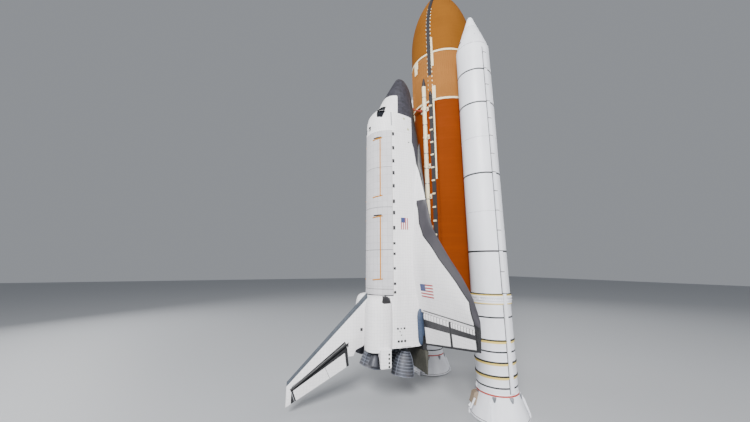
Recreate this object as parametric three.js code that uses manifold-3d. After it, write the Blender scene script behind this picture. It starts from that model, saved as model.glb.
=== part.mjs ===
import * as THREE from "three";
import Module from "manifold-3d";
import { mergeVertices } from "three/addons/utils/BufferGeometryUtils.js";

// Space shuttle launch stack, nose up, as a 1:10 scale model.
// Every size below is in inches of the real vehicle; the stack group turns them into millimetres.
const MODEL_MM_PER_INCH = 2.54;
const GAP = 0.3 / MODEL_MM_PER_INCH; // between touching pieces
const RUNNING = 5.2 / MODEL_MM_PER_INCH; // between moving pieces

// Stations run along the vehicle from the nose aft. Each family has its own zero.
const TANK_ZERO = 2473.64; // tank station at the floor
const BOOSTER_ZERO = 1930.64; // booster station at the floor
const ORBITER_ZERO = 1732.64; // orbiter station at the floor
const ORBITER_DROP = 63.5; // orbiter height that lies on the tank's axis
const tankZ = (station) => TANK_ZERO - station;
const boosterZ = (station) => BOOSTER_ZERO - station;

// Tank
const TANK_R = 165.8;
const FLANGE_R = 167.4;
const OGIVE_R = 584;
const OGIVE_START = 744;
const OGIVE_TIP = 371;
const SPIKE = [[322.5, 3], [334, 6], [350, 20], [360, 26]]; // station, radius
const INTERTANK_TOP = 852.8;
const INTERTANK_BOTTOM = 1123.15;
const FLANGE_HALF = 5;
const DOME_START = 2058;
const DOME_DEPTH = 115;
const FEEDLINE = { angle: 23.5, radius: 10, top: 1040, bottom: 2028, fairing: 48 };
const FEEDLINE_BRACKETS = { start: 120, step: 150, half: 3 };
const TRAY = { angle: 34, half: 9, out: 6, top: 400, bottom: 2050, rampStep: 110, rampHalf: 7 };
const BIPOD = { station: 1129.9, foot: 44, height: 30 };
const AFT_ATTACH = { station: 2058, half: 96.5, beam: 9 };
const AFT_LEGS = [[48, 0, 5], [11, 2, 4], [48, 110, 6]]; // angle on the tank, height above the beam, radius

// Boosters
const BOOSTER_Y = 250.5; // axis from the tank's axis
const BOOSTER_R = 73;
const NOSE_PROFILE = [[200, 0], [201.5, 6], [205, 10.5], [212, 13.4], [275, 34]]; // station, radius
const NOSE_END = 395;
const SKIRT_TOP = 1837;
const SKIRT_R = 104;
const SKIRT_WALL = 2.4;
const RIM_LIFT = 3;
const STIFFENERS = [1660, 1735, 1781];
const STIFFENER = { half: 1.6, out: 2.6 };
const ATTACH_RING = { station: 1511, half: 6, out: 6 };
const STRUTS = [[34, 26, 2.9], [-34, -26, 2.9], [-34, -12, 2.2]]; // angle on the ring, on the tank, radius
const FORWARD_SKIRT_END = 523;
const FORWARD_FITTING = { station: 442, half: 9 };
const TUNNEL = { half: 7, out: 5.5, top: 420, bottom: 1834 };
const POST_ANGLES = [30, 150, 210, 330]; // about the booster's axis, from the side away from the orbiter
const POST = { inner: 88, outer: 109, half: 7, height: 62 };
const NOZZLE = [[93.6, 40], [70, 48], [40, 59], [2.5, 69.5]]; // height, radius
const NOZZLE_WALL = 3;
const NOZZLE_CLOSURE = 8;

// Fuselage sections of the orbiter: two half super-ellipses on a common widest line
const HULL_COLUMNS = ["x", "belly", "widest", "crown", "half", "topPower", "bellyPower"];
const HULL_ROWS = [
  [236.5, 331, 336, 341, 5, 2, 2],
  [240, 320, 336, 347, 14, 2, 2],
  [248, 308, 336, 353.5, 25, 2, 2],
  [262, 298, 338, 361.5, 36, 2, 2],
  [285, 287, 341, 374, 48.5, 2, 2],
  [315, 279, 345, 390, 61.5, 2, 2.05],
  [350, 274, 350, 408, 73.5, 2, 2.05],
  [390, 271, 356, 427, 84, 2, 2.15],
  [428, 269.5, 364, 444.5, 91, 2, 2.35],
  [446, 269, 368, 461, 94, 2.05, 2.45],
  [464, 268.5, 373, 479, 96, 2.1, 2.55],
  [488, 268, 379, 493.5, 98.5, 2.1, 2.7],
  [524, 267.5, 388, 500, 100.5, 2, 3.1],
  [582, 267, 400, 502, 102, 2, 4.3],
  [700, 267.5, 400, 502, 102, 2, 7],
  [1307, 270, 400, 502, 102, 2, 7],
  [1380, 277, 400, 501, 103, 2.1, 7],
  [1450, 281, 400, 500, 105, 2.3, 7],
  [1510, 284, 396, 500, 106, 2.5, 7],
];
const HULL_SIDE_POINTS = 14;
const NOSE_CAP_END = 262;
const BAY_START = 582;
const BAY_END = 1307;
const HULL_END = 1510;
const CABIN_START = 350;
const CABIN_END = 574;
const SKIN = 5;

// Payload bay and doors
const HINGE_HEIGHT = 419;
const BAY = { start: 588, end: 1301 };
const BAY_FLOOR = [[93, 440], [93, 375], [72, 328], [38, 308]]; // half breadth, height
const DOOR = { radius: 102, centre: 400, thick: 3.5, seam: 0.3 };

// Wing planform and section
const WING_ROWS = [ // y, leading edge, deepest thickness, where it is deepest
  [88, 560, 60, 1180],
  [104, 655, 59, 1180],
  [113, 735, 57, 1180],
  [127, 800, 54, 1180],
  [137, 848, 52, 1182],
  [148, 905, 50, 1185],
  [160, 940, 48, 1190],
  [173, 980, 47, 1195],
  [186, 1014, 46, 1200],
  [200, 1039, 43, 1210],
  [222, 1066, 39, 1225],
  [304, 1148, 31, 1265],
  [437, 1276, 20, 1335],
  [457, 1314, 14, 1355],
  [468.3, 1345, 8, 1368],
];
const WING_TE = { root: 1525.24, slope: 0.17733 };
const DIHEDRAL = 0.0612;
const WING_BELLY = 268.5;
const WING_BELLY_RISE = { from: 1040, slope: 0.02 };
const EDGE_RISE = 9;
const TE_HALF = 0.6;
const WING_CUT = { low: 200, high: 400, end: 1600, out: 520, root: 99 }; // reach of its cutting prisms
const EDGE_LINE = [ // plan of the leading edge band's inner side, from the glove to the tip
  [905, 112], [951, 127], [1010, 137], [1063, 162], [1162, 268], [1243, 374], [1300, 438], [1365, 459],
  [1378, 480],
];

// Elevons
const ELEVON_HINGE = { x: 1387, rootY: 115, rootR: 10, tipY: 454.5, tipR: 4.7 };
const ELEVONS = [["inboard", 115, 311.2], ["outboard", 313.8, 454.5]]; // name, inner y, outer y

// Body flap
const FLAP = { x: 1532, z: 288, half: 124, radius: 8, chord: 81 };
const SHELF = { half: 111, start: 1470 };
const STUB = { centre: 95, height: 298, reach: 110.8, half: 21 }; // fairing between elevon and fuselage
const STUB_ROWS = [ // x, share of the full section
  [1366, 0.45], [1378, 0.85], [1396, 1], [1478, 1], [1496, 0.85], [1507, 0.5],
];

// Fin and rudder
const FIN_ROOT = { z: 492, lead: 1292, hinge: 1433.4, trail: 1542.5, halfThick: 13.5 };
const FIN_TIP = { z: 815.72, lead: 1615.7, hinge: 1658.7, trail: 1702.1, halfThick: 5.2 };
const FIN_TE_HALF = 0.9;
const RUDDER = { bottom: 590, top: 800, cove: 2.2, inset: 1.2, bottomRake: 0.46, topRake: 0.25, reach: 160 };
const FIN_CUT = 40; // half breadth of the fin's cutters
const FIN_FOOT = [ // x and z of the notch behind the fin's foot
  [1508, 470], [1508, 500], [1527, 550], [1550, 560], [1550, 640], [1720, 640], [1720, 470],
];

// Pods beside the fin
const POD_ROWS = [ // x, centre y, centre z, half breadth, half height
  [1309.5, 66, 470, 20, 24],
  [1314, 67, 471, 34, 38],
  [1322, 68, 472, 43, 46],
  [1338, 69, 473, 48, 51],
  [1370, 70, 474, 51, 54],
  [1440, 71, 475, 52.5, 54.5],
  [1490, 71.5, 476, 52.5, 54],
  [1515, 72, 477, 51, 52.5],
];
const POD_POWER = 2.5;
const JET_BLOCK = { start: 1500, end: 1562, inner: 104, outer: 136, bottom: 446, top: 490 };

// Engines: gimbal centre, pitch up and outward cant in degrees, scale of the bell, radius of the well
const ENGINES = [
  ["main_engine_upper", 1445, 0, 443, 16, 0, 1, 32],
  ["main_engine_left", 1468.17, -53, 342.64, 10, -3.5, 1, 36],
  ["main_engine_right", 1468.17, 53, 342.64, 10, 3.5, 1, 36],
  ["pod_engine_left", 1495, -88, 486, 15.8, -6.5, 0.47, 17],
  ["pod_engine_right", 1495, 88, 486, 15.8, 6.5, 0.47, 17],
];
const MAIN_TRAVEL = { pitch: 10.5, yaw: 8.5 }; // degrees either way
const POD_TRAVEL = { pitch: 6, yaw: 7 };
const BALL_R = 7;
const BELL = [ // distance from the gimbal, outer radius
  [10, 15], [20, 17], [46, 17], [54, 11], [61, 13.5], [74, 22.5], [92, 32], [118, 39.6], [157, 45.35],
];
const BELL_WALL = 1.6;
const BELL_THROAT = 62;
const WELL_REACH = 140;
const SWEEP = { sides: 24, margin: 1.2, beyond: 40 }; // facets, share of the running room, reach past rim

// Crew hatch on the port side
const HATCH = { x: 492, z: 372, radius: 20, window: 5, thick: 4 };

const DEG = Math.PI / 180;
const TANK_SIDES = 40;
const SPIKE_SIDES = 24;
const BOOSTER_SIDES = 28;
const BELL_SIDES = 20;

const wasm = await Module();
wasm.setup();

// Closed solid of a geometry whose shared corners are merged
function solid(geometry) {
  const bare = geometry.clone();
  bare.deleteAttribute("normal");
  bare.deleteAttribute("uv");
  const merged = mergeVertices(bare, 1e-4);
  return new wasm.Manifold(
    new wasm.Mesh({
      numProp: 3,
      vertProperties: new Float32Array(merged.attributes.position.array),
      triVerts: new Uint32Array(merged.index.array),
    }),
  );
}

// Geometry of a solid that was joined or cut
function geometryOf(shape) {
  const mesh = shape.getMesh();
  const geometry = new THREE.BufferGeometry();
  geometry.setAttribute("position", new THREE.BufferAttribute(mesh.vertProperties, 3));
  geometry.setIndex(new THREE.BufferAttribute(mesh.triVerts, 1));
  geometry.computeVertexNormals();
  return geometry;
}

const join = (first, ...rest) => rest.reduce((sum, next) => sum.add(next), first);
const cut = (first, ...rest) => rest.reduce((left, next) => left.subtract(next), first);

// Turns every face round where the skin encloses a negative volume
function faceOut(geometry) {
  const { position } = geometry.attributes;
  const order = geometry.index.array;
  const corners = [new THREE.Vector3(), new THREE.Vector3(), new THREE.Vector3()];
  let volume = 0;
  for (let i = 0; i < order.length; i += 3) {
    corners.forEach((corner, k) => corner.fromBufferAttribute(position, order[i + k]));
    volume += corners[0].dot(corners[1].cross(corners[2]));
  }
  if (volume < 0) {
    for (let i = 0; i < order.length; i += 3) {
      [order[i + 1], order[i + 2]] = [order[i + 2], order[i + 1]];
    }
  }
  return geometry;
}

// Skin over rings of equal point count. Each end is closed by strips between opposite points.
function loft(rings) {
  const count = rings[0].length;
  const order = [];
  const quad = (a, b, c, d) => order.push(a, b, c, a, c, d);
  for (let i = 0; i + 1 < rings.length; i += 1) {
    for (let j = 0; j < count; j += 1) {
      const next = (j + 1) % count;
      quad(i * count + j, i * count + next, (i + 1) * count + next, (i + 1) * count + j);
    }
  }
  for (const [start, turn] of [[0, true], [(rings.length - 1) * count, false]]) {
    for (let low = 0, high = count - 1; low < high; low += 1, high -= 1) {
      const lowNext = low + 1;
      const highNext = high - 1;
      const face = lowNext < highNext ? [[low, lowNext, highNext], [low, highNext, high]]
        : lowNext === highNext ? [[low, lowNext, high]] : [];
      for (const [a, b, c] of face) {
        order.push(start + a, start + (turn ? c : b), start + (turn ? b : c));
      }
    }
  }
  const geometry = new THREE.BufferGeometry();
  geometry.setAttribute("position", new THREE.Float32BufferAttribute(rings.flat(2), 3));
  geometry.setIndex(new THREE.Uint32BufferAttribute(order, 1));
  return faceOut(geometry);
}

// Turned body about the upright axis, from pairs of radius and height
function turned(profile, sides) {
  const points = profile.map(([radius, height]) => new THREE.Vector2(radius, height));
  return faceOut(new THREE.LatheGeometry(points, sides).rotateX(90 * DEG));
}

// Turned body of a table of station and radius, closed on the axis at both ends
function turnedStations(rows, heightOf, sides) {
  const profile = rows.map(([station, radius]) => [radius, heightOf(station)]).reverse();
  if (profile[0][0] > 0) profile.unshift([0, profile[0][1]]);
  const last = profile[profile.length - 1];
  if (last[0] > 0) profile.push([0, last[1]]);
  return turned(profile, sides);
}

// Block between two corners
function block(x0, x1, y0, y1, z0, z1) {
  return new THREE.BoxGeometry(x1 - x0, y1 - y0, z1 - z0)
    .translate((x0 + x1) / 2, (y0 + y1) / 2, (z0 + z1) / 2);
}

// Round rod or cone between two points
function rod(from, to, radius, sides = 10, endRadius = radius) {
  const start = new THREE.Vector3(...from);
  const way = new THREE.Vector3(...to).sub(start);
  const turn = new THREE.Quaternion().setFromUnitVectors(new THREE.Vector3(0, 1, 0), way.clone().normalize());
  const length = way.length();
  return new THREE.CylinderGeometry(endRadius, radius, length, sides)
    .translate(0, length / 2, 0).applyQuaternion(turn).translate(...from);
}

// Upright prism over a plan outline
function prism(outline, z0, z1) {
  const shape = new THREE.Shape(outline.map(([x, y]) => new THREE.Vector2(x, y)));
  return new THREE.ExtrudeGeometry(shape, { depth: z1 - z0, bevelEnabled: false }).translate(0, 0, z0);
}

const mirrored = (shape) => shape.mirror([0, 1, 0]);

const stack = new THREE.Group();
stack.scale.setScalar(MODEL_MM_PER_INCH);

// Adds a named mesh with its own finish
function place(group, name, geometry, [color, roughness, metalness = 0]) {
  const mesh = new THREE.Mesh(geometry, new THREE.MeshStandardMaterial({ color, roughness, metalness }));
  mesh.name = name;
  group.add(mesh);
  return mesh;
}

const FINISH = {
  foam: [0xb8662b, 0.95],
  foamLight: [0xd09a5a, 0.95],
  cream: [0xe6dcc0, 0.8],
  boosterWhite: [0xeceef0, 0.45],
  steel: [0x8d9094, 0.4, 0.9],
  blanket: [0xf0f0ee, 0.85],
  tile: [0x1d1f22, 0.6],
  carbon: [0x55585c, 0.5],
  glass: [0x0a0c10, 0.08],
  dark: [0x2a2c30, 0.7],
};

const tank = new THREE.Group();
stack.add(tank);

// Point on the tank's skin, at an angle from the orbiter's side towards starboard
function onTank(angle, radius, z) {
  return [radius * Math.sin(angle * DEG), -radius * Math.cos(angle * DEG), z];
}

// Core that trims what stands on the tank
const tankCore = solid(turned([[0, 200], [TANK_R + GAP, 200], [TANK_R + GAP, 1700], [0, 1700]], TANK_SIDES));

function ogiveRadius(station) {
  return TANK_R - OGIVE_R + Math.sqrt(OGIVE_R ** 2 - (OGIVE_START - station) ** 2);
}

function ogiveRows() {
  const rows = [];
  const steps = 9;
  for (let i = 0; i <= steps; i += 1) {
    const station = OGIVE_TIP + (OGIVE_START - OGIVE_TIP) * (i / steps) ** 1.3;
    rows.push([station, ogiveRadius(station)]);
  }
  return rows;
}

function buildTank() {
  const spike = [...SPIKE, [OGIVE_TIP - GAP, ogiveRadius(OGIVE_TIP) - 1]];
  place(tank, "tank_nose_spike", turnedStations(spike, tankZ, SPIKE_SIDES), FINISH.cream);

  const oxygen = [...ogiveRows(), [INTERTANK_TOP - FLANGE_HALF, TANK_R],
    [INTERTANK_TOP - FLANGE_HALF, FLANGE_R], [INTERTANK_TOP - GAP, FLANGE_R]];
  place(tank, "tank_liquid_oxygen", turnedStations(oxygen, tankZ, TANK_SIDES), FINISH.foamLight);

  const middle = [[INTERTANK_TOP, FLANGE_R], [INTERTANK_TOP + FLANGE_HALF, FLANGE_R],
    [INTERTANK_TOP + FLANGE_HALF, TANK_R], [INTERTANK_BOTTOM - FLANGE_HALF, TANK_R],
    [INTERTANK_BOTTOM - FLANGE_HALF, FLANGE_R], [INTERTANK_BOTTOM - GAP, FLANGE_R]];
  place(tank, "tank_intertank", turnedStations(middle, tankZ, TANK_SIDES), FINISH.foamLight);

  const hydrogen = [[INTERTANK_BOTTOM, FLANGE_R], [INTERTANK_BOTTOM + FLANGE_HALF, FLANGE_R],
    [INTERTANK_BOTTOM + FLANGE_HALF, TANK_R]];
  for (const angle of [0, 18, 36, 54, 70, 82]) {
    hydrogen.push([DOME_START + DOME_DEPTH * Math.sin(angle * DEG), TANK_R * Math.cos(angle * DEG)]);
  }
  hydrogen.push([DOME_START + DOME_DEPTH, 0]);
  place(tank, "tank_liquid_hydrogen", turnedStations(hydrogen, tankZ, TANK_SIDES), FINISH.foam);
}

// Pipe that leaves the intertank through a pointed fairing and runs down the tank
function buildFeedline() {
  const { angle, radius, top, bottom, fairing } = FEEDLINE;
  const { start, step, half } = FEEDLINE_BRACKETS;
  const run = FLANGE_R + GAP + radius + 1;
  const head = onTank(angle, run, tankZ(top));
  const pipe = rod(head, onTank(angle, run, tankZ(bottom)), radius, 14);
  const tip = rod(head, onTank(angle, run - 1, tankZ(top - fairing)), radius, 14, 3);
  const brackets = [];
  for (let station = top + start; station < bottom; station += step) {
    brackets.push(solid(block(-radius - 2, radius + 2, -run - 4, -TANK_R + 2, -half, half)
      .rotateZ(angle * DEG).translate(0, 0, tankZ(station))));
  }
  const line = cut(join(solid(pipe), solid(tip), ...brackets), tankCore);
  place(tank, "tank_feedline", geometryOf(line), FINISH.cream);
}

// Tray for the cables and the pressure line, with a ramp at every support
function buildTray() {
  const { angle, half, out, top, bottom, rampStep, rampHalf } = TRAY;
  const seat = GAP + 0.02;
  const between = ogiveRows().map(([station]) => station).filter((station) => station > top + 5);
  const stations = [top, ...between, bottom];
  const rings = stations.map((station) => {
    const skin = station < OGIVE_START ? ogiveRadius(station) : TANK_R;
    const near = skin + seat + (station >= OGIVE_START ? FLANGE_R - TANK_R : 0);
    const far = near + out;
    return [[-half, -near], [half, -near], [half, -far], [-half, -far]]
      .map(([x, y]) => new THREE.Vector3(x, y, tankZ(station))
        .applyAxisAngle(new THREE.Vector3(0, 0, 1), angle * DEG).toArray());
  });
  const ramps = [];
  const reach = FLANGE_R + seat;
  for (let station = 800; station < bottom - 20; station += rampStep) {
    ramps.push(solid(block(-half - 3, half + 3, -reach - out - 3, -reach, -rampHalf, rampHalf)
      .rotateZ(angle * DEG).translate(0, 0, tankZ(station))));
  }
  place(tank, "tank_cable_tray", geometryOf(join(solid(loft(rings)), ...ramps)), FINISH.foamLight);
}

const BELLY_Y = -(267 - ORBITER_DROP);

function buildAttachments() {
  const { station, foot, height } = BIPOD;
  const head = [0, BELLY_Y + 6, tankZ(station)];
  const legs = [-1, 1].map((side) => {
    const base = [side * foot, -Math.sqrt(TANK_R ** 2 - foot ** 2) - 3.2, tankZ(station + height)];
    return solid(rod(base, head, 3.4));
  });
  const pads = [-1, 1].map((side) => {
    const angle = Math.asin(foot / TANK_R) * side;
    return solid(block(-8, 8, -TANK_R - 8, -TANK_R + 2, -9, 9)
      .rotateZ(angle).translate(0, 0, tankZ(station + height)));
  });
  const fork = solid(block(-7, 7, BELLY_Y + 3.6, BELLY_Y + 14, -6, 6).translate(0, 0, tankZ(station)));
  place(tank, "tank_bipod", geometryOf(cut(join(fork, ...legs, ...pads), tankCore)), FINISH.steel);

  const { half, beam } = AFT_ATTACH;
  const z = tankZ(AFT_ATTACH.station);
  const orbiterSide = -(270 - ORBITER_DROP) + GAP;
  const pieces = [solid(block(-half - 8, half + 8, orbiterSide, orbiterSide + beam, z - beam, z + beam))];
  for (const side of [-1, 1]) {
    const from = [side * half, orbiterSide + beam / 2, z];
    for (const [angle, lift, radius] of AFT_LEGS) {
      pieces.push(solid(rod(from, onTank(side * angle, TANK_R + 5, z + lift), radius)));
      pieces.push(solid(block(-9, 9, -TANK_R - 9, -TANK_R + 2, -9, 9).rotateZ(side * angle * DEG)
        .translate(0, 0, z + lift)));
    }
  }
  place(tank, "tank_aft_attach", geometryOf(cut(join(...pieces), tankCore)), FINISH.steel);
}

function buildBooster(side) {
  const booster = new THREE.Group();
  booster.position.x = side * BOOSTER_Y;
  stack.add(booster);
  const label = `booster_${side < 0 ? "left" : "right"}`;
  const put = (name, geometry, finish) => place(booster, `${label}_${name}`, geometry, finish);
  const sides = BOOSTER_SIDES;
  const tankward = -side;

  const nose = [...NOSE_PROFILE, [NOSE_END - GAP, BOOSTER_R]];
  put("nose", turnedStations(nose, boosterZ, sides), FINISH.boosterWhite);

  const fitting = FORWARD_FITTING;
  const reach = BOOSTER_Y - TANK_R - GAP;
  const fittingBox = block(BOOSTER_R - 12, reach, -fitting.half, fitting.half,
    boosterZ(fitting.station + fitting.half * 1.6), boosterZ(fitting.station - fitting.half * 1.6));
  if (tankward < 0) fittingBox.rotateZ(Math.PI);
  const barrel = [[NOSE_END, BOOSTER_R], [FORWARD_SKIRT_END - GAP, BOOSTER_R]];
  const skirt = turnedStations(barrel, boosterZ, sides);
  put("forward_skirt", geometryOf(join(solid(skirt), solid(fittingBox))), FINISH.boosterWhite);

  const motor = [[FORWARD_SKIRT_END, BOOSTER_R]];
  for (const station of STIFFENERS) {
    const { half, out } = STIFFENER;
    motor.push([station - half, BOOSTER_R], [station - half, BOOSTER_R + out],
      [station + half, BOOSTER_R + out], [station + half, BOOSTER_R]);
  }
  motor.push([SKIRT_TOP - GAP, BOOSTER_R]);
  put("motor", turnedStations(motor, boosterZ, sides), FINISH.boosterWhite);

  const ring = ATTACH_RING;
  const low = boosterZ(ring.station + ring.half);
  const high = boosterZ(ring.station - ring.half);
  const gateHalf = TUNNEL.half + 0.8;
  const gate = solid(block(BOOSTER_R - 4, BOOSTER_R + 20, -gateHalf, gateHalf, low - 1, high + 1)
    .rotateZ(side < 0 ? Math.PI : 0));
  const [inside, outside] = [BOOSTER_R + GAP, BOOSTER_R + ring.out];
  const band = solid(turned([[inside, low], [outside, low], [outside, high], [inside, high], [inside, low]], sides));
  put("attach_ring", geometryOf(cut(band, gate)), FINISH.boosterWhite);

  // Cable tunnel on the outboard side, notched over each stiffener
  const near = BOOSTER_R + GAP;
  const far = near + TUNNEL.out;
  const notches = STIFFENERS.map((station) => solid(block(near - 1, BOOSTER_R + STIFFENER.out + GAP + 0.4,
    -20, 20, boosterZ(station + STIFFENER.half) - 0.5, boosterZ(station - STIFFENER.half) + 0.5)));
  const [tunnelLow, tunnelHigh] = [boosterZ(TUNNEL.bottom), boosterZ(TUNNEL.top)];
  const tray = cut(solid(block(near, far, -TUNNEL.half, TUNNEL.half, tunnelLow, tunnelHigh)), ...notches);
  const tunnel = geometryOf(tray);
  if (side < 0) tunnel.rotateZ(Math.PI);
  put("tunnel", tunnel, FINISH.boosterWhite);

  // Flared skirt on four hold-down posts
  const top = boosterZ(SKIRT_TOP);
  const shell = solid(turned([[60, top], [68, top - 8], [SKIRT_R - SKIRT_WALL, RIM_LIFT], [SKIRT_R, RIM_LIFT],
    [76, top - 9], [BOOSTER_R + 1.5, top - 2], [BOOSTER_R, top], [60, top]], sides));
  const posts = POST_ANGLES.map((angle) => {
    const rings = [[0, POST.inner, POST.outer, POST.half], [12, POST.inner, POST.outer, POST.half],
      [POST.height, 76, 92, POST.half * 0.6]]
      .map(([z, inner, outer, half]) => [
        [inner, -half, z], [outer, -half, z], [outer, half, z], [inner, half, z]]);
    return solid(loft(rings).rotateZ((90 + angle) * DEG));
  });
  const clear = solid(turned([[0, -1], [SKIRT_R - SKIRT_WALL - 14, -1], [SKIRT_R - SKIRT_WALL - 14, RIM_LIFT],
    [68, top - 8], [0, top - 8]], sides));
  put("aft_skirt", geometryOf(join(shell, cut(join(...posts), clear))), FINISH.boosterWhite);

  // Nozzle: the exit cone, closed where it meets the motor
  const [closedAt, throat] = NOZZLE[0];
  const outer = NOZZLE.map(([z, radius]) => [radius, z]);
  const inner = NOZZLE.slice(1).reverse().map(([z, radius]) => [radius - NOZZLE_WALL, z]);
  const floor = closedAt - NOZZLE_CLOSURE;
  const cone = [[0, closedAt], ...outer, ...inner, [throat - NOZZLE_WALL, floor], [0, floor]];
  put("nozzle", turned(cone, sides), FINISH.dark);
}

// Three struts between a booster's attach ring and the tank
function buildStruts(side) {
  const z = boosterZ(ATTACH_RING.station);
  const ringR = BOOSTER_R + ATTACH_RING.out + GAP;
  const onRing = (angle, radius) => [side * (BOOSTER_Y - radius * Math.cos(angle * DEG)),
    -radius * Math.sin(angle * DEG), z];
  const skinR = TANK_R + 1.6;
  const onSkin = (angle) => [side * skinR * Math.cos(angle * DEG), -skinR * Math.sin(angle * DEG), z];
  const rods = STRUTS.map(([ringAngle, tankAngle, radius]) => solid(
    rod(onRing(ringAngle, ringR + radius + 0.5), onSkin(tankAngle), radius)));
  const pad = (angle) => solid(block(ringR, ringR + 7, -6, 6, -5, 5)
    .rotateZ((side > 0 ? 180 + angle : -angle) * DEG).translate(side * BOOSTER_Y, 0, z));
  const hoop = [[ringR, -4], [ringR + 2, -4], [ringR + 2, 4], [ringR, 4], [ringR, -4]];
  const saddle = solid(turned(hoop, BOOSTER_SIDES))
    .intersect(solid(block(-100, -ringR * Math.cos(STRUTS[0][0] * DEG), -60, 60, -5, 5)))
    .rotate([0, 0, side > 0 ? 0 : 180]).translate([side * BOOSTER_Y, 0, z]);
  const shape = join(saddle, ...rods, pad(STRUTS[0][0]), pad(STRUTS[1][0]));
  const label = side < 0 ? "left" : "right";
  place(stack, `booster_${label}_struts`, geometryOf(cut(shape, tankCore)), FINISH.boosterWhite);
}

// The orbiter is drawn in its own axes: x aft, y to starboard, z up from the belly to the crown.
const orbiter = new THREE.Group();
orbiter.rotation.setFromRotationMatrix(new THREE.Matrix4().makeBasis(
  new THREE.Vector3(0, 0, -1), new THREE.Vector3(1, 0, 0), new THREE.Vector3(0, -1, 0)));
orbiter.position.set(0, ORBITER_DROP, ORBITER_ZERO);
stack.add(orbiter);

const lerp = THREE.MathUtils.lerp;

// Row of a table at a station, by straight lines between its rows
function rowAt(rows, station) {
  const after = Math.max(1, rows.findIndex((row) => row[0] >= station));
  const [low, high] = [rows[after - 1], rows[after]];
  const part = (station - low[0]) / (high[0] - low[0]);
  return low.map((value, i) => lerp(value, high[i], part));
}

// Ring round the fuselage at a station, grown by an allowance
function hullRing(station, grow) {
  const row = Object.fromEntries(HULL_COLUMNS.map((name, i) => [name, rowAt(HULL_ROWS, station)[i]]));
  const starboard = [];
  for (let i = 0; i <= HULL_SIDE_POINTS; i += 1) {
    const angle = (i / HULL_SIDE_POINTS) * Math.PI - Math.PI / 2;
    const up = angle >= 0;
    const power = 2 / (up ? row.topPower : row.bellyPower);
    const height = up ? row.crown - row.widest : row.widest - row.belly;
    const y = (row.half + grow) * Math.cos(angle) ** power;
    const z = row.widest + Math.sign(angle) * (height + grow) * Math.abs(Math.sin(angle)) ** power;
    starboard.push([station, y, z]);
  }
  const port = starboard.slice(1, -1).reverse().map(([x, y, z]) => [x, -y, z]);
  return [...starboard, ...port];
}

// Fuselage between two stations
function hull(from, to, grow = 0) {
  const stations = HULL_ROWS.map((row) => row[0]).filter((x) => x > from + 0.5 && x < to - 0.5);
  return solid(loft([from, ...stations, to].map((x) => hullRing(x, grow))));
}

const wholeHull = hull(HULL_ROWS[0][0], HULL_END, GAP);

// Panes of the flight deck: four outer corners each, as x, half breadth and height
const PANES = [
  [[433, 3, 449], [434, 30, 445], [462, 28, 474], [466, 3, 479]],
  [[437, 35, 444], [451, 68, 436], [473, 76, 446], [462, 42, 470]],
  [[467, 46, 469], [479, 79, 444], [508, 76, 458], [503, 60, 474]],
];
const ROOF_PANE = [[540, 8, 501], [540, 30, 497], [564, 30, 498], [564, 8, 502]];

// Cutter through the skin under a pane
function paneCutter(corners, inward, outward) {
  const [a, b, c, d] = corners.map((corner) => new THREE.Vector3(...corner));
  const normal = c.sub(a).cross(d.sub(b)).normalize();
  if (normal.z < 0) normal.negate();
  const way = normal.toArray();
  const shift = (amount) => corners.map((corner) => corner.map((value, k) => value + way[k] * amount));
  return solid(loft([shift(-inward), shift(outward)]));
}

function buildForwardFuselage() {
  place(orbiter, "orbiter_nose_cap", geometryOf(hull(HULL_ROWS[0][0], NOSE_CAP_END - GAP)), FINISH.carbon);

  const cabin = hull(CABIN_START, CABIN_END, -SKIN);
  const cutters = [];
  for (const corners of [...PANES, ROOF_PANE]) {
    const cutter = paneCutter(corners, 16, 14);
    cutters.push(cutter, mirrored(cutter));
  }
  const hatchCone = (grow) => solid(rod([HATCH.x, -88, HATCH.z], [HATCH.x, -104, HATCH.z],
    HATCH.radius - 1.4 + grow, 24, HATCH.radius + 0.8 + grow));
  const doorway = hatchCone(GAP * 2.2);
  const body = cut(hull(NOSE_CAP_END, BAY_START - GAP), cabin, ...cutters, doorway);
  place(orbiter, "orbiter_forward_fuselage", geometryOf(body), FINISH.blanket);

  // Glass band close inside the skin, behind all the panes of the flight deck
  const layer = cut(hull(424, 570, -SKIN - GAP), hull(423, 571, -SKIN - 2.2));
  const zone = join(solid(block(430, 514, -84, 84, 428, 520)), solid(block(510, 568, -36, 36, 470, 520)));
  place(orbiter, "orbiter_windows", geometryOf(layer.intersect(zone)), FINISH.glass);

  // Round hatch whose skin follows the port side
  const plug = hatchCone(0);
  const shell = cut(hull(440, 545), hull(440, 545, -HATCH.thick));
  const pane = solid(rod([HATCH.x, -60, HATCH.z], [HATCH.x, -125, HATCH.z], HATCH.window, 12));
  place(orbiter, "orbiter_hatch", geometryOf(cut(shell.intersect(plug), pane)), FINISH.blanket);
}

// Section across the bay, as y and z, drawn along the body
function alongBody(outline, from, to) {
  const shape = new THREE.Shape(outline.map(([y, z]) => new THREE.Vector2(y, z)));
  return new THREE.ExtrudeGeometry(shape, { depth: to - from, bevelEnabled: false })
    .applyMatrix4(new THREE.Matrix4().makeBasis(
      new THREE.Vector3(0, 1, 0), new THREE.Vector3(0, 0, 1), new THREE.Vector3(1, 0, 0)))
    .translate(from, 0, 0);
}

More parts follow.
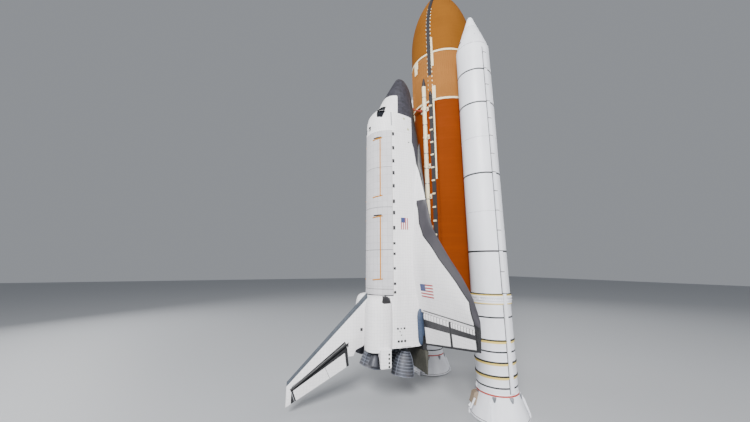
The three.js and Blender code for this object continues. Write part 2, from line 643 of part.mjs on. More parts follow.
function buildMidFuselage() {
  const trough = [...BAY_FLOOR, ...BAY_FLOOR.slice().reverse().map(([y, z]) => [-y, z])];
  const above = solid(block(BAY_START - 5, BAY_END + 5, -120, 120, HINGE_HEIGHT, 520));
  const body = cut(hull(BAY_START, BAY_END - GAP), above, solid(alongBody(trough, BAY.start, BAY.end)));
  place(orbiter, "orbiter_mid_fuselage", geometryOf(body), FINISH.blanket);

  // Each door is a curved panel from its hinge line to the seam on the crown
  const steps = 12;
  const low = Math.asin((HINGE_HEIGHT + DOOR.seam - DOOR.centre) / (DOOR.radius - DOOR.thick));
  const high = Math.acos(DOOR.seam / DOOR.radius);
  const arc = (radius) => Array.from({ length: steps + 1 }, (unused, i) => {
    const angle = lerp(low, high, i / steps);
    return [radius * Math.cos(angle), DOOR.centre + radius * Math.sin(angle)];
  });
  const inner = arc(DOOR.radius - DOOR.thick).reverse();
  const leaf = [...arc(DOOR.radius), ...inner];
  const starboard = solid(alongBody(leaf, BAY_START + DOOR.seam, BAY_END - DOOR.seam));
  place(orbiter, "bay_door_right", geometryOf(starboard), FINISH.blanket);
  place(orbiter, "bay_door_left", geometryOf(mirrored(starboard)), FINISH.blanket);
}

const trailingEdge = (y) => WING_TE.root - WING_TE.slope * Math.abs(y);

function hingeHalf(y) {
  const { rootY, rootR, tipY, tipR } = ELEVON_HINGE;
  return lerp(rootR, tipR, (y - rootY) / (tipY - rootY));
}

function wingBelly(x, y) {
  return WING_BELLY + (y - 105) * DIHEDRAL + Math.max(0, x - WING_BELLY_RISE.from) * WING_BELLY_RISE.slope;
}

const hingeHeight = (y) => wingBelly(ELEVON_HINGE.x, y) + hingeHalf(y);

// Lower and upper height of the wing at a point of its plan
function wingHeights(x, y, lead, thick, deepest) {
  const half = Math.max(hingeHalf(y), 2);
  if (x >= ELEVON_HINGE.x) {
    const aft = (x - ELEVON_HINGE.x) / (trailingEdge(y) - ELEVON_HINGE.x);
    const spread = lerp(half, TE_HALF, aft);
    return [hingeHeight(y) - spread, hingeHeight(y) + spread];
  }
  if (x >= deepest) {
    const aft = (x - deepest) / (ELEVON_HINGE.x - deepest);
    return [wingBelly(x, y), wingBelly(x, y) + lerp(thick, half * 2, aft ** 1.6)];
  }
  const fore = (deepest - x) / (deepest - lead);
  const low = wingBelly(x, y) + EDGE_RISE * fore ** 5;
  return [low, low + thick * (1 - fore ** 1.6) ** 0.62];
}

function wingRing([y, lead, thick, deepest]) {
  const edge = wingBelly(lead, y) + EDGE_RISE;
  const parts = [0.003, 0.015, 0.05, 0.13, 0.3, 0.6, 1];
  const xs = [...parts.map((part) => lerp(lead, deepest, part)), lerp(deepest, ELEVON_HINGE.x, 0.5),
    ELEVON_HINGE.x, trailingEdge(y)];
  const upper = xs.map((x) => [x, y, wingHeights(x, y, lead, thick, deepest)[1]]);
  const lower = xs.map((x) => [x, y, wingHeights(x, y, lead, thick, deepest)[0]]).reverse();
  return [[lead, y, edge], ...upper, ...lower];
}

// Plan of the elevon bay between two half breadths, in front of the hinge by an allowance
function bayPlan(inner, outer, room) {
  const front = (y) => ELEVON_HINGE.x - hingeHalf(y) - room;
  return [[front(inner), inner], [front(outer), outer], [WING_CUT.end, outer], [WING_CUT.end, inner]];
}

function elevon([, inner, outer], wing) {
  const { x } = ELEVON_HINGE;
  const strip = (from, to) => solid(block(from, to, inner, outer, WING_CUT.low, WING_CUT.high));
  const roll = rod([x, inner, hingeHeight(inner)], [x, outer, hingeHeight(outer)],
    hingeHalf(inner), 20, hingeHalf(outer));
  return join(wing.intersect(strip(x, WING_CUT.end)), solid(roll).intersect(strip(x - 17, x + 13)));
}

function buildWings() {
  const whole = solid(loft(WING_ROWS.map(wingRing)));
  const upright = (plan) => solid(prism(plan, WING_CUT.low, WING_CUT.high));
  const rear = upright(bayPlan(STUB.reach - 1, ELEVON_HINGE.tipY + 2.4, GAP));

  // Leading edge band: the strip of the plan outside its inner line
  const [front, side] = EDGE_LINE[0];
  const band = (room) => [...EDGE_LINE.map(([x, y]) => [x + room, y - room]),
    [EDGE_LINE[EDGE_LINE.length - 1][0], WING_CUT.out], [front - room, WING_CUT.out]];
  const strip = upright(band(0));
  const wider = upright([...band(GAP * 0.9), [front - GAP * 0.9, side - GAP * 0.9]]);
  const edge = whole.intersect(strip);
  const inboard = (from, reach) => solid(block(from, WING_CUT.end, 0, reach, WING_CUT.low, WING_CUT.high));
  const wing = cut(whole, rear, wider, inboard(HULL_ROWS[0][0], WING_CUT.root),
    inboard(STUB_ROWS[0][0] - GAP, STUB.reach + GAP));

  for (const [label, turn] of [["right", (shape) => shape], ["left", mirrored]]) {
    place(orbiter, `wing_${label}`, geometryOf(cut(turn(wing), wholeHull)), FINISH.blanket);
    place(orbiter, `wing_edge_${label}`, geometryOf(turn(edge)), FINISH.carbon);
    for (const row of ELEVONS) {
      place(orbiter, `elevon_${row[0]}_${label}`, geometryOf(turn(elevon(row, whole))), FINISH.blanket);
    }
  }
}

// Turned tool shape about an engine's axis, moved to the engine
function aimed(geometry, [, x, y, z, pitch, cant]) {
  return geometry
    .rotateY(90 * DEG)
    .rotateY(-pitch * DEG)
    .rotateZ(cant * DEG)
    .translate(x, y, z);
}

// Round well that an engine stands in; its floor touches the gimbal ball
function well(engine) {
  const [, , , , , , scale, radius] = engine;
  const floor = -(BALL_R * scale + GAP);
  const bore = [[0, floor], [radius, floor], [radius, WELL_REACH], [0, WELL_REACH]];
  return solid(aimed(turned(bore, 28), engine));
}

// Room that a bell sweeps as it tilts: rounded rectangles about its axis, which only widen aft
function swept(engine) {
  const [, , , , , , scale] = engine;
  const travel = scale < 1 ? POD_TRAVEL : MAIN_TRAVEL;
  const [pitch, yaw] = [Math.sin(travel.pitch * DEG), Math.sin(travel.yaw * DEG)];
  const room = (radius) => radius + RUNNING * SWEEP.margin;
  const rings = [];
  let widest = 0;
  const push = (along, distance, radius) => {
    widest = Math.max(widest, radius);
    const [down, aside] = [distance * pitch, distance * yaw];
    rings.push(Array.from({ length: SWEEP.sides }, (unused, i) => {
      const angle = ((i + 0.5) / SWEEP.sides) * 2 * Math.PI;
      const [c, s] = [Math.cos(angle), Math.sin(angle)];
      return [Math.sign(c) * down + room(widest) * c, Math.sign(s) * aside + room(widest) * s, along];
    }));
  };
  push(-(BALL_R * scale + GAP), BELL[0][0] * scale, BELL[0][1] * scale);
  for (const [d, radius] of BELL) {
    const [distance, size] = [d * scale, radius * scale];
    const along = distance * Math.cos(travel.pitch * DEG) - size * pitch - RUNNING;
    if (along > rings[rings.length - 1][0][2] + 0.5) push(along, distance, size);
  }
  const [last, rim] = BELL[BELL.length - 1];
  push(last * scale + SWEEP.beyond, last * scale, rim * scale);
  return solid(aimed(loft(rings), engine));
}

function stubRing(x, share) {
  const points = 12;
  return Array.from({ length: points }, (unused, i) => {
    const angle = (i / points) * 2 * Math.PI;
    return [x, STUB.centre + (STUB.reach - STUB.centre) * share * Math.cos(angle),
      STUB.height + STUB.half * share * Math.sin(angle)];
  });
}

function buildAftFuselage() {
  const wells = ENGINES.map(well);
  const sweeps = ENGINES.map(swept);
  const shelfTop = FLAP.z + FLAP.radius;
  const shelf = solid(block(SHELF.start, FLAP.x - FLAP.radius - GAP, -SHELF.half, SHELF.half,
    FLAP.z - FLAP.radius, shelfTop));
  const stub = solid(loft(STUB_ROWS.map(([x, share]) => stubRing(x, share))));
  const whole = cut(join(hull(BAY_END, HULL_END), shelf, stub, mirrored(stub)), ...wells, ...sweeps);
  place(orbiter, "orbiter_aft_fuselage", geometryOf(whole), FINISH.blanket);

  const ring = [];
  for (let i = 0; i <= 8; i += 1) {
    const angle = 90 + (i * 180) / 8;
    ring.push([FLAP.x + FLAP.radius * Math.cos(angle * DEG), FLAP.z + FLAP.radius * Math.sin(angle * DEG)]);
  }
  const tail = [[FLAP.x + FLAP.chord, FLAP.z - 1.2], [FLAP.x + FLAP.chord, FLAP.z + 1.2]];
  const shape = new THREE.Shape([...ring, ...tail].map(([x, z]) => new THREE.Vector2(x, z)));
  const flap = new THREE.ExtrudeGeometry(shape, { depth: FLAP.half * 2, bevelEnabled: false })
    .rotateX(90 * DEG).translate(0, FLAP.half, 0);
  place(orbiter, "body_flap", flap, FINISH.tile);
}

const finAt = (z, key) => lerp(FIN_ROOT[key], FIN_TIP[key], (z - FIN_ROOT.z) / (FIN_TIP.z - FIN_ROOT.z));
const finHinge = (z) => finAt(z, "hinge");

function finRing(z) {
  const [lead, trail, thick] = ["lead", "trail", "halfThick"].map((key) => finAt(z, key));
  const hinge = finHinge(z);
  const side = [[lead, 0], [lerp(lead, hinge, 0.02), thick * 0.2], [lerp(lead, hinge, 0.12), thick * 0.42],
    [lerp(lead, hinge, 0.5), thick * 0.8], [hinge, thick], [trail, FIN_TE_HALF]];
  return [...side.map(([x, y]) => [x, y, z]), ...side.slice(1).reverse().map(([x, y]) => [x, -y, z])];
}

function buildFin() {
  const whole = solid(loft([FIN_ROOT.z, RUDDER.bottom, RUDDER.top, FIN_TIP.z].map(finRing)));
  // Cutters stand on the hinge line, so their ends are square to it
  const foot = new THREE.Vector3(finHinge(RUDDER.bottom), 0, RUDDER.bottom);
  const head = new THREE.Vector3(finHinge(RUDDER.top), 0, RUDDER.top);
  const up = head.clone().sub(foot).normalize();
  const turn = new THREE.Matrix4().makeBasis(
    new THREE.Vector3(up.z, 0, -up.x), new THREE.Vector3(0, 1, 0), up);
  const length = head.distanceTo(foot);
  const onHinge = (geometry) => solid(geometry.applyMatrix4(turn).translate(foot.x, foot.y, foot.z));
  const slab = (outline, inner, outer) => {
    const shape = new THREE.Shape(outline.map(([aft, along]) => new THREE.Vector2(aft, along)));
    return new THREE.ExtrudeGeometry(shape, { depth: outer - inner, bevelEnabled: false })
      .rotateX(90 * DEG).translate(0, outer, 0);
  };
  // Area behind the hinge between the raked ends, kept clear of them by an allowance
  const behindHinge = (low, high, room) => [
    [low, room + low * RUDDER.bottomRake], [RUDDER.reach, room + RUDDER.reach * RUDDER.bottomRake],
    [RUDDER.reach, length - room + RUDDER.reach * RUDDER.topRake],
    [high, length - room + high * RUDDER.topRake]];
  const hubR = (z) => finAt(z, "halfThick") - RUDDER.inset;
  const [footR, headR] = [hubR(RUDDER.bottom), hubR(RUDDER.top)];
  const coveR = (z) => Math.hypot(hubR(z) + 2 * GAP, finAt(z, "halfThick")) + RUDDER.cove;
  const cove = onHinge(new THREE.CylinderGeometry(coveR(RUDDER.top), coveR(RUDDER.bottom), length, 32)
    .rotateX(90 * DEG).translate(0, 0, length / 2));
  const room = onHinge(slab(behindHinge(0, 0, 0), -FIN_CUT, FIN_CUT));
  const bayEnd = solid(block(BAY_START, BAY_END, -FIN_CUT, FIN_CUT, HINGE_HEIGHT, RUDDER.bottom));
  const notch = solid(slab(FIN_FOOT, -FIN_CUT, FIN_CUT));
  const fin = cut(whole, wholeHull, cove, room, bayEnd, notch, swept(ENGINES[0]));
  place(orbiter, "fin", geometryOf(fin), FINISH.blanket);

  const side = slab(behindHinge(footR + 2 * GAP, headR + 2 * GAP, RUNNING), GAP * 1.5, FIN_CUT);
  const panel = whole.intersect(onHinge(side));
  place(orbiter, "rudder_right", geometryOf(panel), FINISH.blanket);
  place(orbiter, "rudder_left", geometryOf(mirrored(panel)), FINISH.blanket);
  const hub = onHinge(new THREE.CylinderGeometry(headR, footR, length - 2 * GAP, 20)
    .rotateX(90 * DEG).translate(0, 0, length / 2));
  place(orbiter, "rudder_hub", geometryOf(hub), FINISH.tile);
}

function podRing([x, yc, zc, a, b]) {
  const count = 20;
  const bulge = (value) => Math.sign(value) * Math.abs(value) ** (2 / POD_POWER);
  return Array.from({ length: count }, (unused, i) => {
    const angle = (i / count) * 2 * Math.PI;
    return [x, yc + a * bulge(Math.cos(angle)), zc + b * bulge(Math.sin(angle))];
  });
}

function buildPods() {
  const jets = JET_BLOCK;
  const casing = solid(block(jets.start, jets.end, jets.inner, jets.outer, jets.bottom, jets.top));
  const raw = cut(join(solid(loft(POD_ROWS.map(podRing))), casing), well(ENGINES[4]), swept(ENGINES[4]),
    well(ENGINES[0]), swept(ENGINES[0]), swept(ENGINES[2]));
  place(orbiter, "pod_right", geometryOf(cut(raw, wholeHull)), FINISH.blanket);
  place(orbiter, "pod_left", geometryOf(cut(mirrored(raw), wholeHull)), FINISH.blanket);
}

function buildEngines() {
  for (const engine of ENGINES) {
    const [name, , , , , , scale] = engine;
    const sides = scale < 1 ? BELL_SIDES - 4 : BELL_SIDES;
    const outside = BELL.map(([d, radius]) => [radius * scale, d * scale]);
    const inside = BELL.filter(([d]) => d > BELL_THROAT).reverse()
      .map(([d, radius]) => [(radius - BELL_WALL) * scale, d * scale]);
    const front = (BALL_R + GAP / scale) * scale;
    const profile = [[0, front], [6 * scale, front], ...outside, ...inside, [0, BELL_THROAT * scale]];
    place(orbiter, name, aimed(turned(profile, sides), engine), FINISH.steel);
    const ball = aimed(new THREE.SphereGeometry(BALL_R * scale, 12, 8), engine);
    place(orbiter, name.replace("engine", "gimbal"), ball, FINISH.dark);
  }
}

buildTank();
buildFeedline();
buildTray();
buildAttachments();
for (const side of [-1, 1]) {
  buildBooster(side);
  buildStruts(side);
}
buildForwardFuselage();
buildMidFuselage();
buildWings();
buildAftFuselage();
buildFin();
buildPods();
buildEngines();

// The origin lies on the floor under the middle of the stack's breadth and depth
const finReach = FIN_TIP.z - ORBITER_DROP;
stack.position.y = ((finReach - FLANGE_R) / 2) * MODEL_MM_PER_INCH;

export default stack;
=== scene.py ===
import math
import bmesh
import bpy
from mathutils import Matrix, Vector


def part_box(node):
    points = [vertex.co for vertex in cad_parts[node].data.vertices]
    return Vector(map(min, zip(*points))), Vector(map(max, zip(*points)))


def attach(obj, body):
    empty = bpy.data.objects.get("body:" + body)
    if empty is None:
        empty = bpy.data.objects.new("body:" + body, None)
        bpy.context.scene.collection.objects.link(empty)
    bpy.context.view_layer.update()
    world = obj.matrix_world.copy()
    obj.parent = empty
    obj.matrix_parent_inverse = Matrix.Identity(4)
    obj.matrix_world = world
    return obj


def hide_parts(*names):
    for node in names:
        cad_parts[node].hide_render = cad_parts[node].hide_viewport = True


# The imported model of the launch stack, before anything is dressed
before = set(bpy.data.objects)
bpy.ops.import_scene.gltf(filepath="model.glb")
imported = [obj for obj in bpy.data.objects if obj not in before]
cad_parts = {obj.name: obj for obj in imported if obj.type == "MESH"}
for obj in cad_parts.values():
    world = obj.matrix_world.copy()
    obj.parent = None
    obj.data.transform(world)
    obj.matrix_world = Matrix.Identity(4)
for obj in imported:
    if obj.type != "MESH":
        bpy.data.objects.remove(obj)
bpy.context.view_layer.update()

bl_info = {
    "name": "Shuttle Launch Stack",
    "version": (1, 0, 0),
    "blender": (4, 5, 0),
    "location": "View3D > Sidebar > Launch Stack",
    "description": "Dresses the frame of a tenth-scale space shuttle launch stack",
    "category": "Object",
}

# Sizes are inches of the real vehicle, and the model is a tenth of it
INCH = 0.00254
# Stations that lie on the floor, and the boosters' distance from the middle
TANK_ZERO = 2473.64
BOOSTER_ZERO = 1930.64
ORBITER_ZERO = 1732.64
BOOSTER_X = 250.5
# Height in the orbiter's axes at which the tank's axis lies
ORBITER_LEVEL = 63.5
# Seam between two fixed pieces, and the room that a moving one keeps
GAP = 0.118
CLEARANCE = 2.047
SIDES = ((1, "right"), (-1, "left"))
_low, _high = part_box("tank_liquid_hydrogen")
AXIS_Y = (_low.y + _high.y) / 2

TO_METRES = Matrix.Scale(INCH, 4)
ON_TANK = Matrix.Translation((0, AXIS_Y, 0)) @ TO_METRES
# Orbiter axes: x aft, y to starboard, z up from the belly to the crown
ON_ORBITER = Matrix((
    (0, INCH, 0, 0),
    (0, 0, -INCH, AXIS_Y + ORBITER_LEVEL * INCH),
    (-INCH, 0, 0, ORBITER_ZERO * INCH),
    (0, 0, 0, 1),
))


def on_booster(side):
    """Matrix from a booster's own inches to the model"""
    return Matrix.Translation((side * BOOSTER_X * INCH, AXIS_Y, 0)) @ TO_METRES


def srgb(code):
    """Linear colour of an sRGB hex value"""
    values = [int(code[i:i + 2], 16) / 255 for i in (0, 2, 4)]
    return [v / 12.92 if v <= 0.04045 else ((v + 0.055) / 1.055) ** 2.4 for v in values] + [1.0]


def mix_rows(rows, at):
    """Row of a table at a value of its first column, on a smooth curve that never overshoots"""
    at = min(max(at, rows[0][0]), rows[-1][0])
    k = max(i for i in range(len(rows) - 1) if rows[i][0] <= at)
    span = rows[k + 1][0] - rows[k][0]
    t = (at - rows[k][0]) / span

    def slope(i, column):
        if i <= 0 or i >= len(rows) - 1:
            j = 0 if i <= 0 else len(rows) - 2
            return (rows[j + 1][column] - rows[j][column]) / (rows[j + 1][0] - rows[j][0])
        before = (rows[i][column] - rows[i - 1][column]) / (rows[i][0] - rows[i - 1][0])
        after = (rows[i + 1][column] - rows[i][column]) / (rows[i + 1][0] - rows[i][0])
        return 0.0 if before * after <= 0 else 2 * before * after / (before + after)

    values = [at]
    for column in range(1, len(rows[0])):
        a, b = rows[k][column], rows[k + 1][column]
        ma, mb = slope(k, column) * span, slope(k + 1, column) * span
        values.append((2 * t**3 - 3 * t**2 + 1) * a + (t**3 - 2 * t**2 + t) * ma
                      + (3 * t**2 - 2 * t**3) * b + (t**3 - t**2) * mb)
    return values


def steps(start, end, count):
    """Even steps from start to end, both of them included"""
    return [start + (end - start) * i / count for i in range(count + 1)]


def lerp(a, b, t):
    return a + (b - a) * t


# Settings that a user would change


def colour_setting(name, code, about):
    return bpy.props.FloatVectorProperty(
        name=name, description=about, subtype="COLOR", size=4, min=0, max=1, default=srgb(code))


class TankSettings(bpy.types.PropertyGroup):
    """Colours and fineness of the tank"""
    ogive_foam: colour_setting("Ogive foam", "7E4E16", "Foam of the liquid oxygen tank")
    ribbed_foam: colour_setting("Intertank foam", "956330", "Foam on the ribbed intertank")
    lower_foam: colour_setting("Lower foam", "7A3403", "Foam of the liquid hydrogen tank")
    cream: colour_setting("Cream foam", "E9DDBB", "Cast foam of rings, pipe and ramps")
    sides: bpy.props.IntProperty(
        name="Sides", description="Facets round the tank", default=144, min=24)
    stringers: bpy.props.IntProperty(
        name="Stringers", description="Ribs round the intertank", default=108, min=12)


class BoosterSettings(bpy.types.PropertyGroup):
    """Colours and fineness of the boosters"""
    paint: colour_setting("Paint", "EAEBF1", "White paint of the cases")
    band: colour_setting("Band", "1A1A1C", "Dark sealant at the case joints")
    marker: colour_setting("Marker", "E2C667", "Yellow edge of the stiffener rings")
    sides: bpy.props.IntProperty(
        name="Sides", description="Facets round a booster", default=96, min=24)


class OrbiterSettings(bpy.types.PropertyGroup):
    """Colours and tile sizes of the orbiter"""
    white: colour_setting("White tile", "F1EFF0", "Upper tiles and blankets")
    door: colour_setting("Door blanket", "CBC9CC", "Weathered blankets of the payload doors")
    grey: colour_setting("Nose tile", "2C2B33", "Weathered dark tiles of the nose")
    black: colour_setting("Black tile", "1B1B1E", "Tiles of the belly")
    edge: colour_setting("Leading edge", "38363C", "Reinforced carbon of the leading edges")
    tile: bpy.props.FloatProperty(
        name="Tile", description="Side of one tile", default=0.0152, unit="LENGTH", min=0.005)
    panel: bpy.props.FloatProperty(
        name="Panel", description="Side of one blanket panel", default=0.0762, unit="LENGTH", min=0.02)


class StageSettings(bpy.types.PropertyGroup):
    """Floor, light and camera"""
    floor: colour_setting("Floor", "A9ABAE", "Pale floor")
    sky: colour_setting("Room", "DDE2EA", "Light of the room")
    key_power: bpy.props.FloatProperty(
        name="Key light", description="Power of the key light", default=2300, unit="POWER", min=0)
    fill_power: bpy.props.FloatProperty(
        name="Fill light", description="Power of the fill light", default=420, unit="POWER", min=0)


def settings():
    return bpy.context.scene.launch_stack


class LaunchStackSettings(bpy.types.PropertyGroup):
    """All settings of the launch stack"""
    tank: bpy.props.PointerProperty(type=TankSettings)
    booster: bpy.props.PointerProperty(type=BoosterSettings)
    orbiter: bpy.props.PointerProperty(type=OrbiterSettings)
    stage: bpy.props.PointerProperty(type=StageSettings)


# Materials


def add(tree, kind, inputs=(), **attributes):
    """Adds a node, sets its attributes, and links or sets its inputs"""
    made = tree.nodes.new(kind)
    for key, value in attributes.items():
        setattr(made, key, value)
    for key, value in dict(inputs).items():
        if isinstance(value, bpy.types.NodeSocket):
            tree.links.new(value, made.inputs[key])
        else:
            made.inputs[key].default_value = value
    return made


def surface(name, colour, roughness, metallic=0.0, pattern=None, **more):
    """Material with a principled shader; a pattern may give its colour, roughness and height"""
    if name in bpy.data.materials:
        return bpy.data.materials[name]
    colour = list(colour)
    material = bpy.data.materials.new(name)
    material.use_nodes = True
    tree = material.node_tree
    tree.nodes.clear()
    inputs = {"Base Color": colour, "Roughness": roughness, "Metallic": metallic}
    inputs.update({key.replace("_", " "): value for key, value in more.items()})
    if pattern:
        inputs.update(pattern(tree, colour, roughness))
    shader = add(tree, "ShaderNodeBsdfPrincipled", inputs)
    add(tree, "ShaderNodeOutputMaterial", {"Surface": shader.outputs[0]})
    material.diffuse_color = colour
    return material


def shaded(colour, factor):
    """Colour made lighter or darker by a factor"""
    return [min(1, v * factor) for v in colour[:3]] + [1.0]


def stretched(tree, vector, scale):
    return add(tree, "ShaderNodeMapping", {
        "Vector": vector, "Scale": scale}, vector_type="POINT").outputs[0]


def mixed(tree, factor, a, b):
    return add(tree, "ShaderNodeMix", {0: factor, 6: a, 7: b}, data_type="RGBA").outputs[2]


def ramped(tree, value, low, high, to_low=0.0, to_high=1.0):
    """Value between two limits, laid out between two others"""
    return add(tree, "ShaderNodeMapRange", {
        "Value": value, "From Min": low, "From Max": high,
        "To Min": to_low, "To Max": to_high}).outputs[0]


def noise(tree, vector, scale, detail=3.0, roughness=0.55):
    return add(tree, "ShaderNodeTexNoise", {
        "Vector": vector, "Scale": scale, "Detail": detail, "Roughness": roughness}).outputs["Fac"]


def bump(tree, height, distance, strength=0.5):
    return add(tree, "ShaderNodeBump", {
        "Height": height, "Distance": distance, "Strength": strength}).outputs[0]


def grid(tree, vector, width, height, gap, a, b, mortar):
    """Brick pattern of a real size in metres: colour and mortar mask"""
    made = add(tree, "ShaderNodeTexBrick", {
        "Vector": vector, "Scale": 1 / height, "Brick Width": width / height, "Row Height": 1.0,
        "Mortar Size": gap / height, "Mortar Smooth": 0.1, "Color1": a, "Color2": b, "Mortar": mortar},
        offset=0.0)
    return made.outputs["Color"], made.outputs["Fac"]


def uv_map(tree):
    return add(tree, "ShaderNodeTexCoord").outputs["UV"]


def object_place(tree):
    return add(tree, "ShaderNodeTexCoord").outputs["Object"]


def tiled(size, gap, spread, mottle=0.0, dirt=0.12):
    """Pattern of tiles along the skin: each one a little lighter or darker, with darker gaps"""
    def pattern(tree, colour, roughness):
        place = uv_map(tree)
        tint, joint = grid(tree, place, size, size, gap, shaded(colour, 1 + spread),
                           shaded(colour, 1 - spread), shaded(colour, 0.62))
        streak = noise(tree, stretched(tree, place, (0.6, 3.0, 1.0)), 3.0, 5.0)
        worn = mixed(tree, ramped(tree, streak, 0.42, 0.75, 0.0, dirt), tint, shaded(colour, 0.45))
        if mottle:
            patch = noise(tree, object_place(tree), 24.0, 6.0, 0.7)
            worn = mixed(tree, ramped(tree, patch, 0.4, 0.62, 0.0, mottle), worn, shaded(colour, 1.9))
        return {"Base Color": worn, "Normal": bump(tree, joint, -0.0006),
                "Roughness": ramped(tree, streak, 0.3, 0.7, roughness - 0.08, roughness + 0.08)}
    return pattern


def foamed(dark, streaks=1.0):
    """Pattern of sprayed foam: soft clouds of tone, faint rings of the spray passes, a fine skin"""
    def pattern(tree, colour, roughness):
        place = object_place(tree)
        cloud = noise(tree, place, 1.7, 5.0)
        rings = noise(tree, stretched(tree, place, (0.5, 0.5, 16.0)), 2.0, 2.0)
        tone = mixed(tree, ramped(tree, cloud, 0.35, 0.7, 0.0, 0.55), colour, dark)
        tone = mixed(tree, ramped(tree, rings, 0.45, 0.8, 0.0, 0.35 * streaks), tone,
                     shaded(colour, 1.25))
        # The grain of real foam is about 2 mm wide, and it is drawn at 9 mm to show
        peel = noise(tree, place, 110.0, 2.0)
        return {"Base Color": tone, "Normal": bump(tree, peel, 0.0012, 0.35)}
    return pattern


ALL_WAYS = (1.0, 1.0, 1.0)


def weathered(dirt, amount, stretch=(1.0, 1.0, 0.25)):
    """Pattern of run-down dirt on paint or metal"""
    def pattern(tree, colour, roughness):
        cloud = noise(tree, stretched(tree, object_place(tree), stretch), 6.0, 6.0, 0.6)
        tone = mixed(tree, ramped(tree, cloud, 0.45, 0.8, 0.0, amount), colour, dirt)
        return {"Base Color": tone,
                "Roughness": ramped(tree, cloud, 0.3, 0.7, roughness - 0.06, roughness + 0.1)}
    return pattern


def heat_tinted(tree, colour, roughness):
    """Clouds of grey heat tint on bare alloy"""
    cloud = noise(tree, object_place(tree), 9.0, 4.0)
    tint = mixed(tree, ramped(tree, cloud, 0.4, 0.7, 0.0, 0.45), colour, srgb("5F5A58"))
    return {"Base Color": tint,
            "Roughness": ramped(tree, cloud, 0.3, 0.7, roughness - 0.1, roughness + 0.1)}


def quilted(width, height):
    """Pattern of sewn blankets: soft pillows between stitched lines"""
    def pattern(tree, colour, roughness):
        place = uv_map(tree)
        tint, seam = grid(tree, place, width, height, 0.0016,
                          shaded(colour, 1.03), shaded(colour, 0.95), shaded(colour, 0.74))
        worn = noise(tree, place, 5.0, 6.0, 0.6)
        tone = mixed(tree, ramped(tree, worn, 0.4, 0.75, 0.0, 0.22), tint, shaded(colour, 0.55))
        return {"Base Color": tone, "Normal": bump(tree, seam, -0.001)}
    return pattern


# Side of a real tile at this scale, for the finishes that have no setting
FINE_TILE = 0.0152
FOAM_SHINE = 0.12


def white_tile():
    # Coated silica tile: satin white, fine dark gaps, drawn at twice its real size to show
    s = settings().orbiter
    return surface("white coated silica tile", s.white, 0.62, pattern=tiled(s.tile * 2, 0.0006, 0.02))


def blanket():
    # Quilted silica cloth: dull, slightly grey, soft seams
    s = settings().orbiter
    return surface("quilted silica blanket", s.door, 0.85, pattern=quilted(s.panel, s.panel * 0.75))


def grey_tile():
    # Flown glass-coated tile, bleached to a speckled grey, drawn at twice its real size to show
    s = settings().orbiter
    return surface("bleached dark silica tile", s.grey, 0.6,
                   pattern=tiled(s.tile * 2, 0.0016, 0.55, mottle=0.3))


def black_tile():
    # Borosilicate-glazed tile: black with a soft sheen
    s = settings().orbiter
    return surface("black glazed silica tile", s.black, 0.45, pattern=tiled(s.tile, 0.0008, 0.2))


def worn_tile(name, code, roughness=0.6, spread=0.1, mottle=0.15, gap=0.0009):
    """Dark tile of the real size in a colour of its own"""
    return surface(name, srgb(code), roughness, pattern=tiled(FINE_TILE, gap, spread, mottle))


def side_tile():
    # Even purple-grey tiles, which the fuselage's black tiles take where they face sideways
    return worn_tile("even dark silica tile", "34323A", spread=0.07, mottle=0.06)


def slate_tile():
    # Blue-grey tiles of the fairing beside the elevons
    return worn_tile("slate silica tile", "35435A")


def fin_edge():
    return worn_tile("slate-grey fin edge tile", "3F464F", mottle=0.12)


def flap_tile():
    return worn_tile("weathered flap tile", "3E3D36", 0.65, 0.2, 0.35)


def heat_shield():
    # Base heat shield: dark, sooted tiles
    return worn_tile("sooted base tile", "3B3A3C", 0.75, 0.2, 0.3, 0.0008)


def carbon():
    # Reinforced carbon shell: matt purple-grey, weathered lighter in places
    return surface("reinforced carbon", settings().orbiter.edge, 0.55,
                   pattern=weathered(srgb("4A474C"), 0.7, ALL_WAYS))


def dark_edge():
    # Dark filler strip beside the leading edge
    return surface("black silicone strip", srgb("232226"), 0.6)


def glazing():
    # Aluminosilicate glass over a dark cabin
    return surface("dark window glazing", srgb("14171C"), 0.06, Specular_IOR_Level=0.7)


def sprayed(name, colour, roughness, dark, streaks=1.0):
    """Sprayed polyurethane foam, which dulls the light that falls on it"""
    return surface(name, colour, roughness, pattern=foamed(srgb(dark), streaks),
                   Specular_IOR_Level=FOAM_SHINE)


def ogive_foam():
    return sprayed("sprayed foam, golden", settings().tank.ogive_foam, 0.85, "6C400E", 0.4)


def ribbed_foam():
    return sprayed("sprayed foam, tan", settings().tank.ribbed_foam, 0.88, "84562A", 0.6)


def lower_foam():
    return sprayed("sprayed foam, deep orange", settings().tank.lower_foam, 0.85, "6B2C00")


def red_foam():
    return surface("sprayed foam, red-brown", srgb("9A3A26"), 0.85, pattern=foamed(srgb("8E3B28")))


def cream_foam():
    # Hand-poured foam, fresh and pale
    return surface("poured foam, cream", settings().tank.cream, 0.8,
                   pattern=weathered(srgb("BFA777"), 0.5))


def booster_paint():
    # White epoxy paint on steel, satin, with faint run-down dirt
    return surface("white epoxy paint", settings().booster.paint, 0.42,
                   pattern=weathered(srgb("A9A9AC"), 0.35))


def cork():
    # Cork sheet with a tan sealant
    return surface("tan cork sheet", srgb("9C8A76"), 0.85, pattern=weathered(srgb("6E5E4E"), 0.7, ALL_WAYS))


def joint_band():
    return surface("black cork and sealant", settings().booster.band, 0.6)


def marker_paint():
    return surface("yellow enamel", settings().booster.marker, 0.45)


def red_paint():
    return surface("red enamel", srgb("A8352A"), 0.45)


def steel():
    # Machined steel: mid grey, directional scratches too fine to draw
    return surface("machined steel", srgb("8C8F94"), 0.38, 0.9, pattern=weathered(srgb("5E6064"), 0.6))


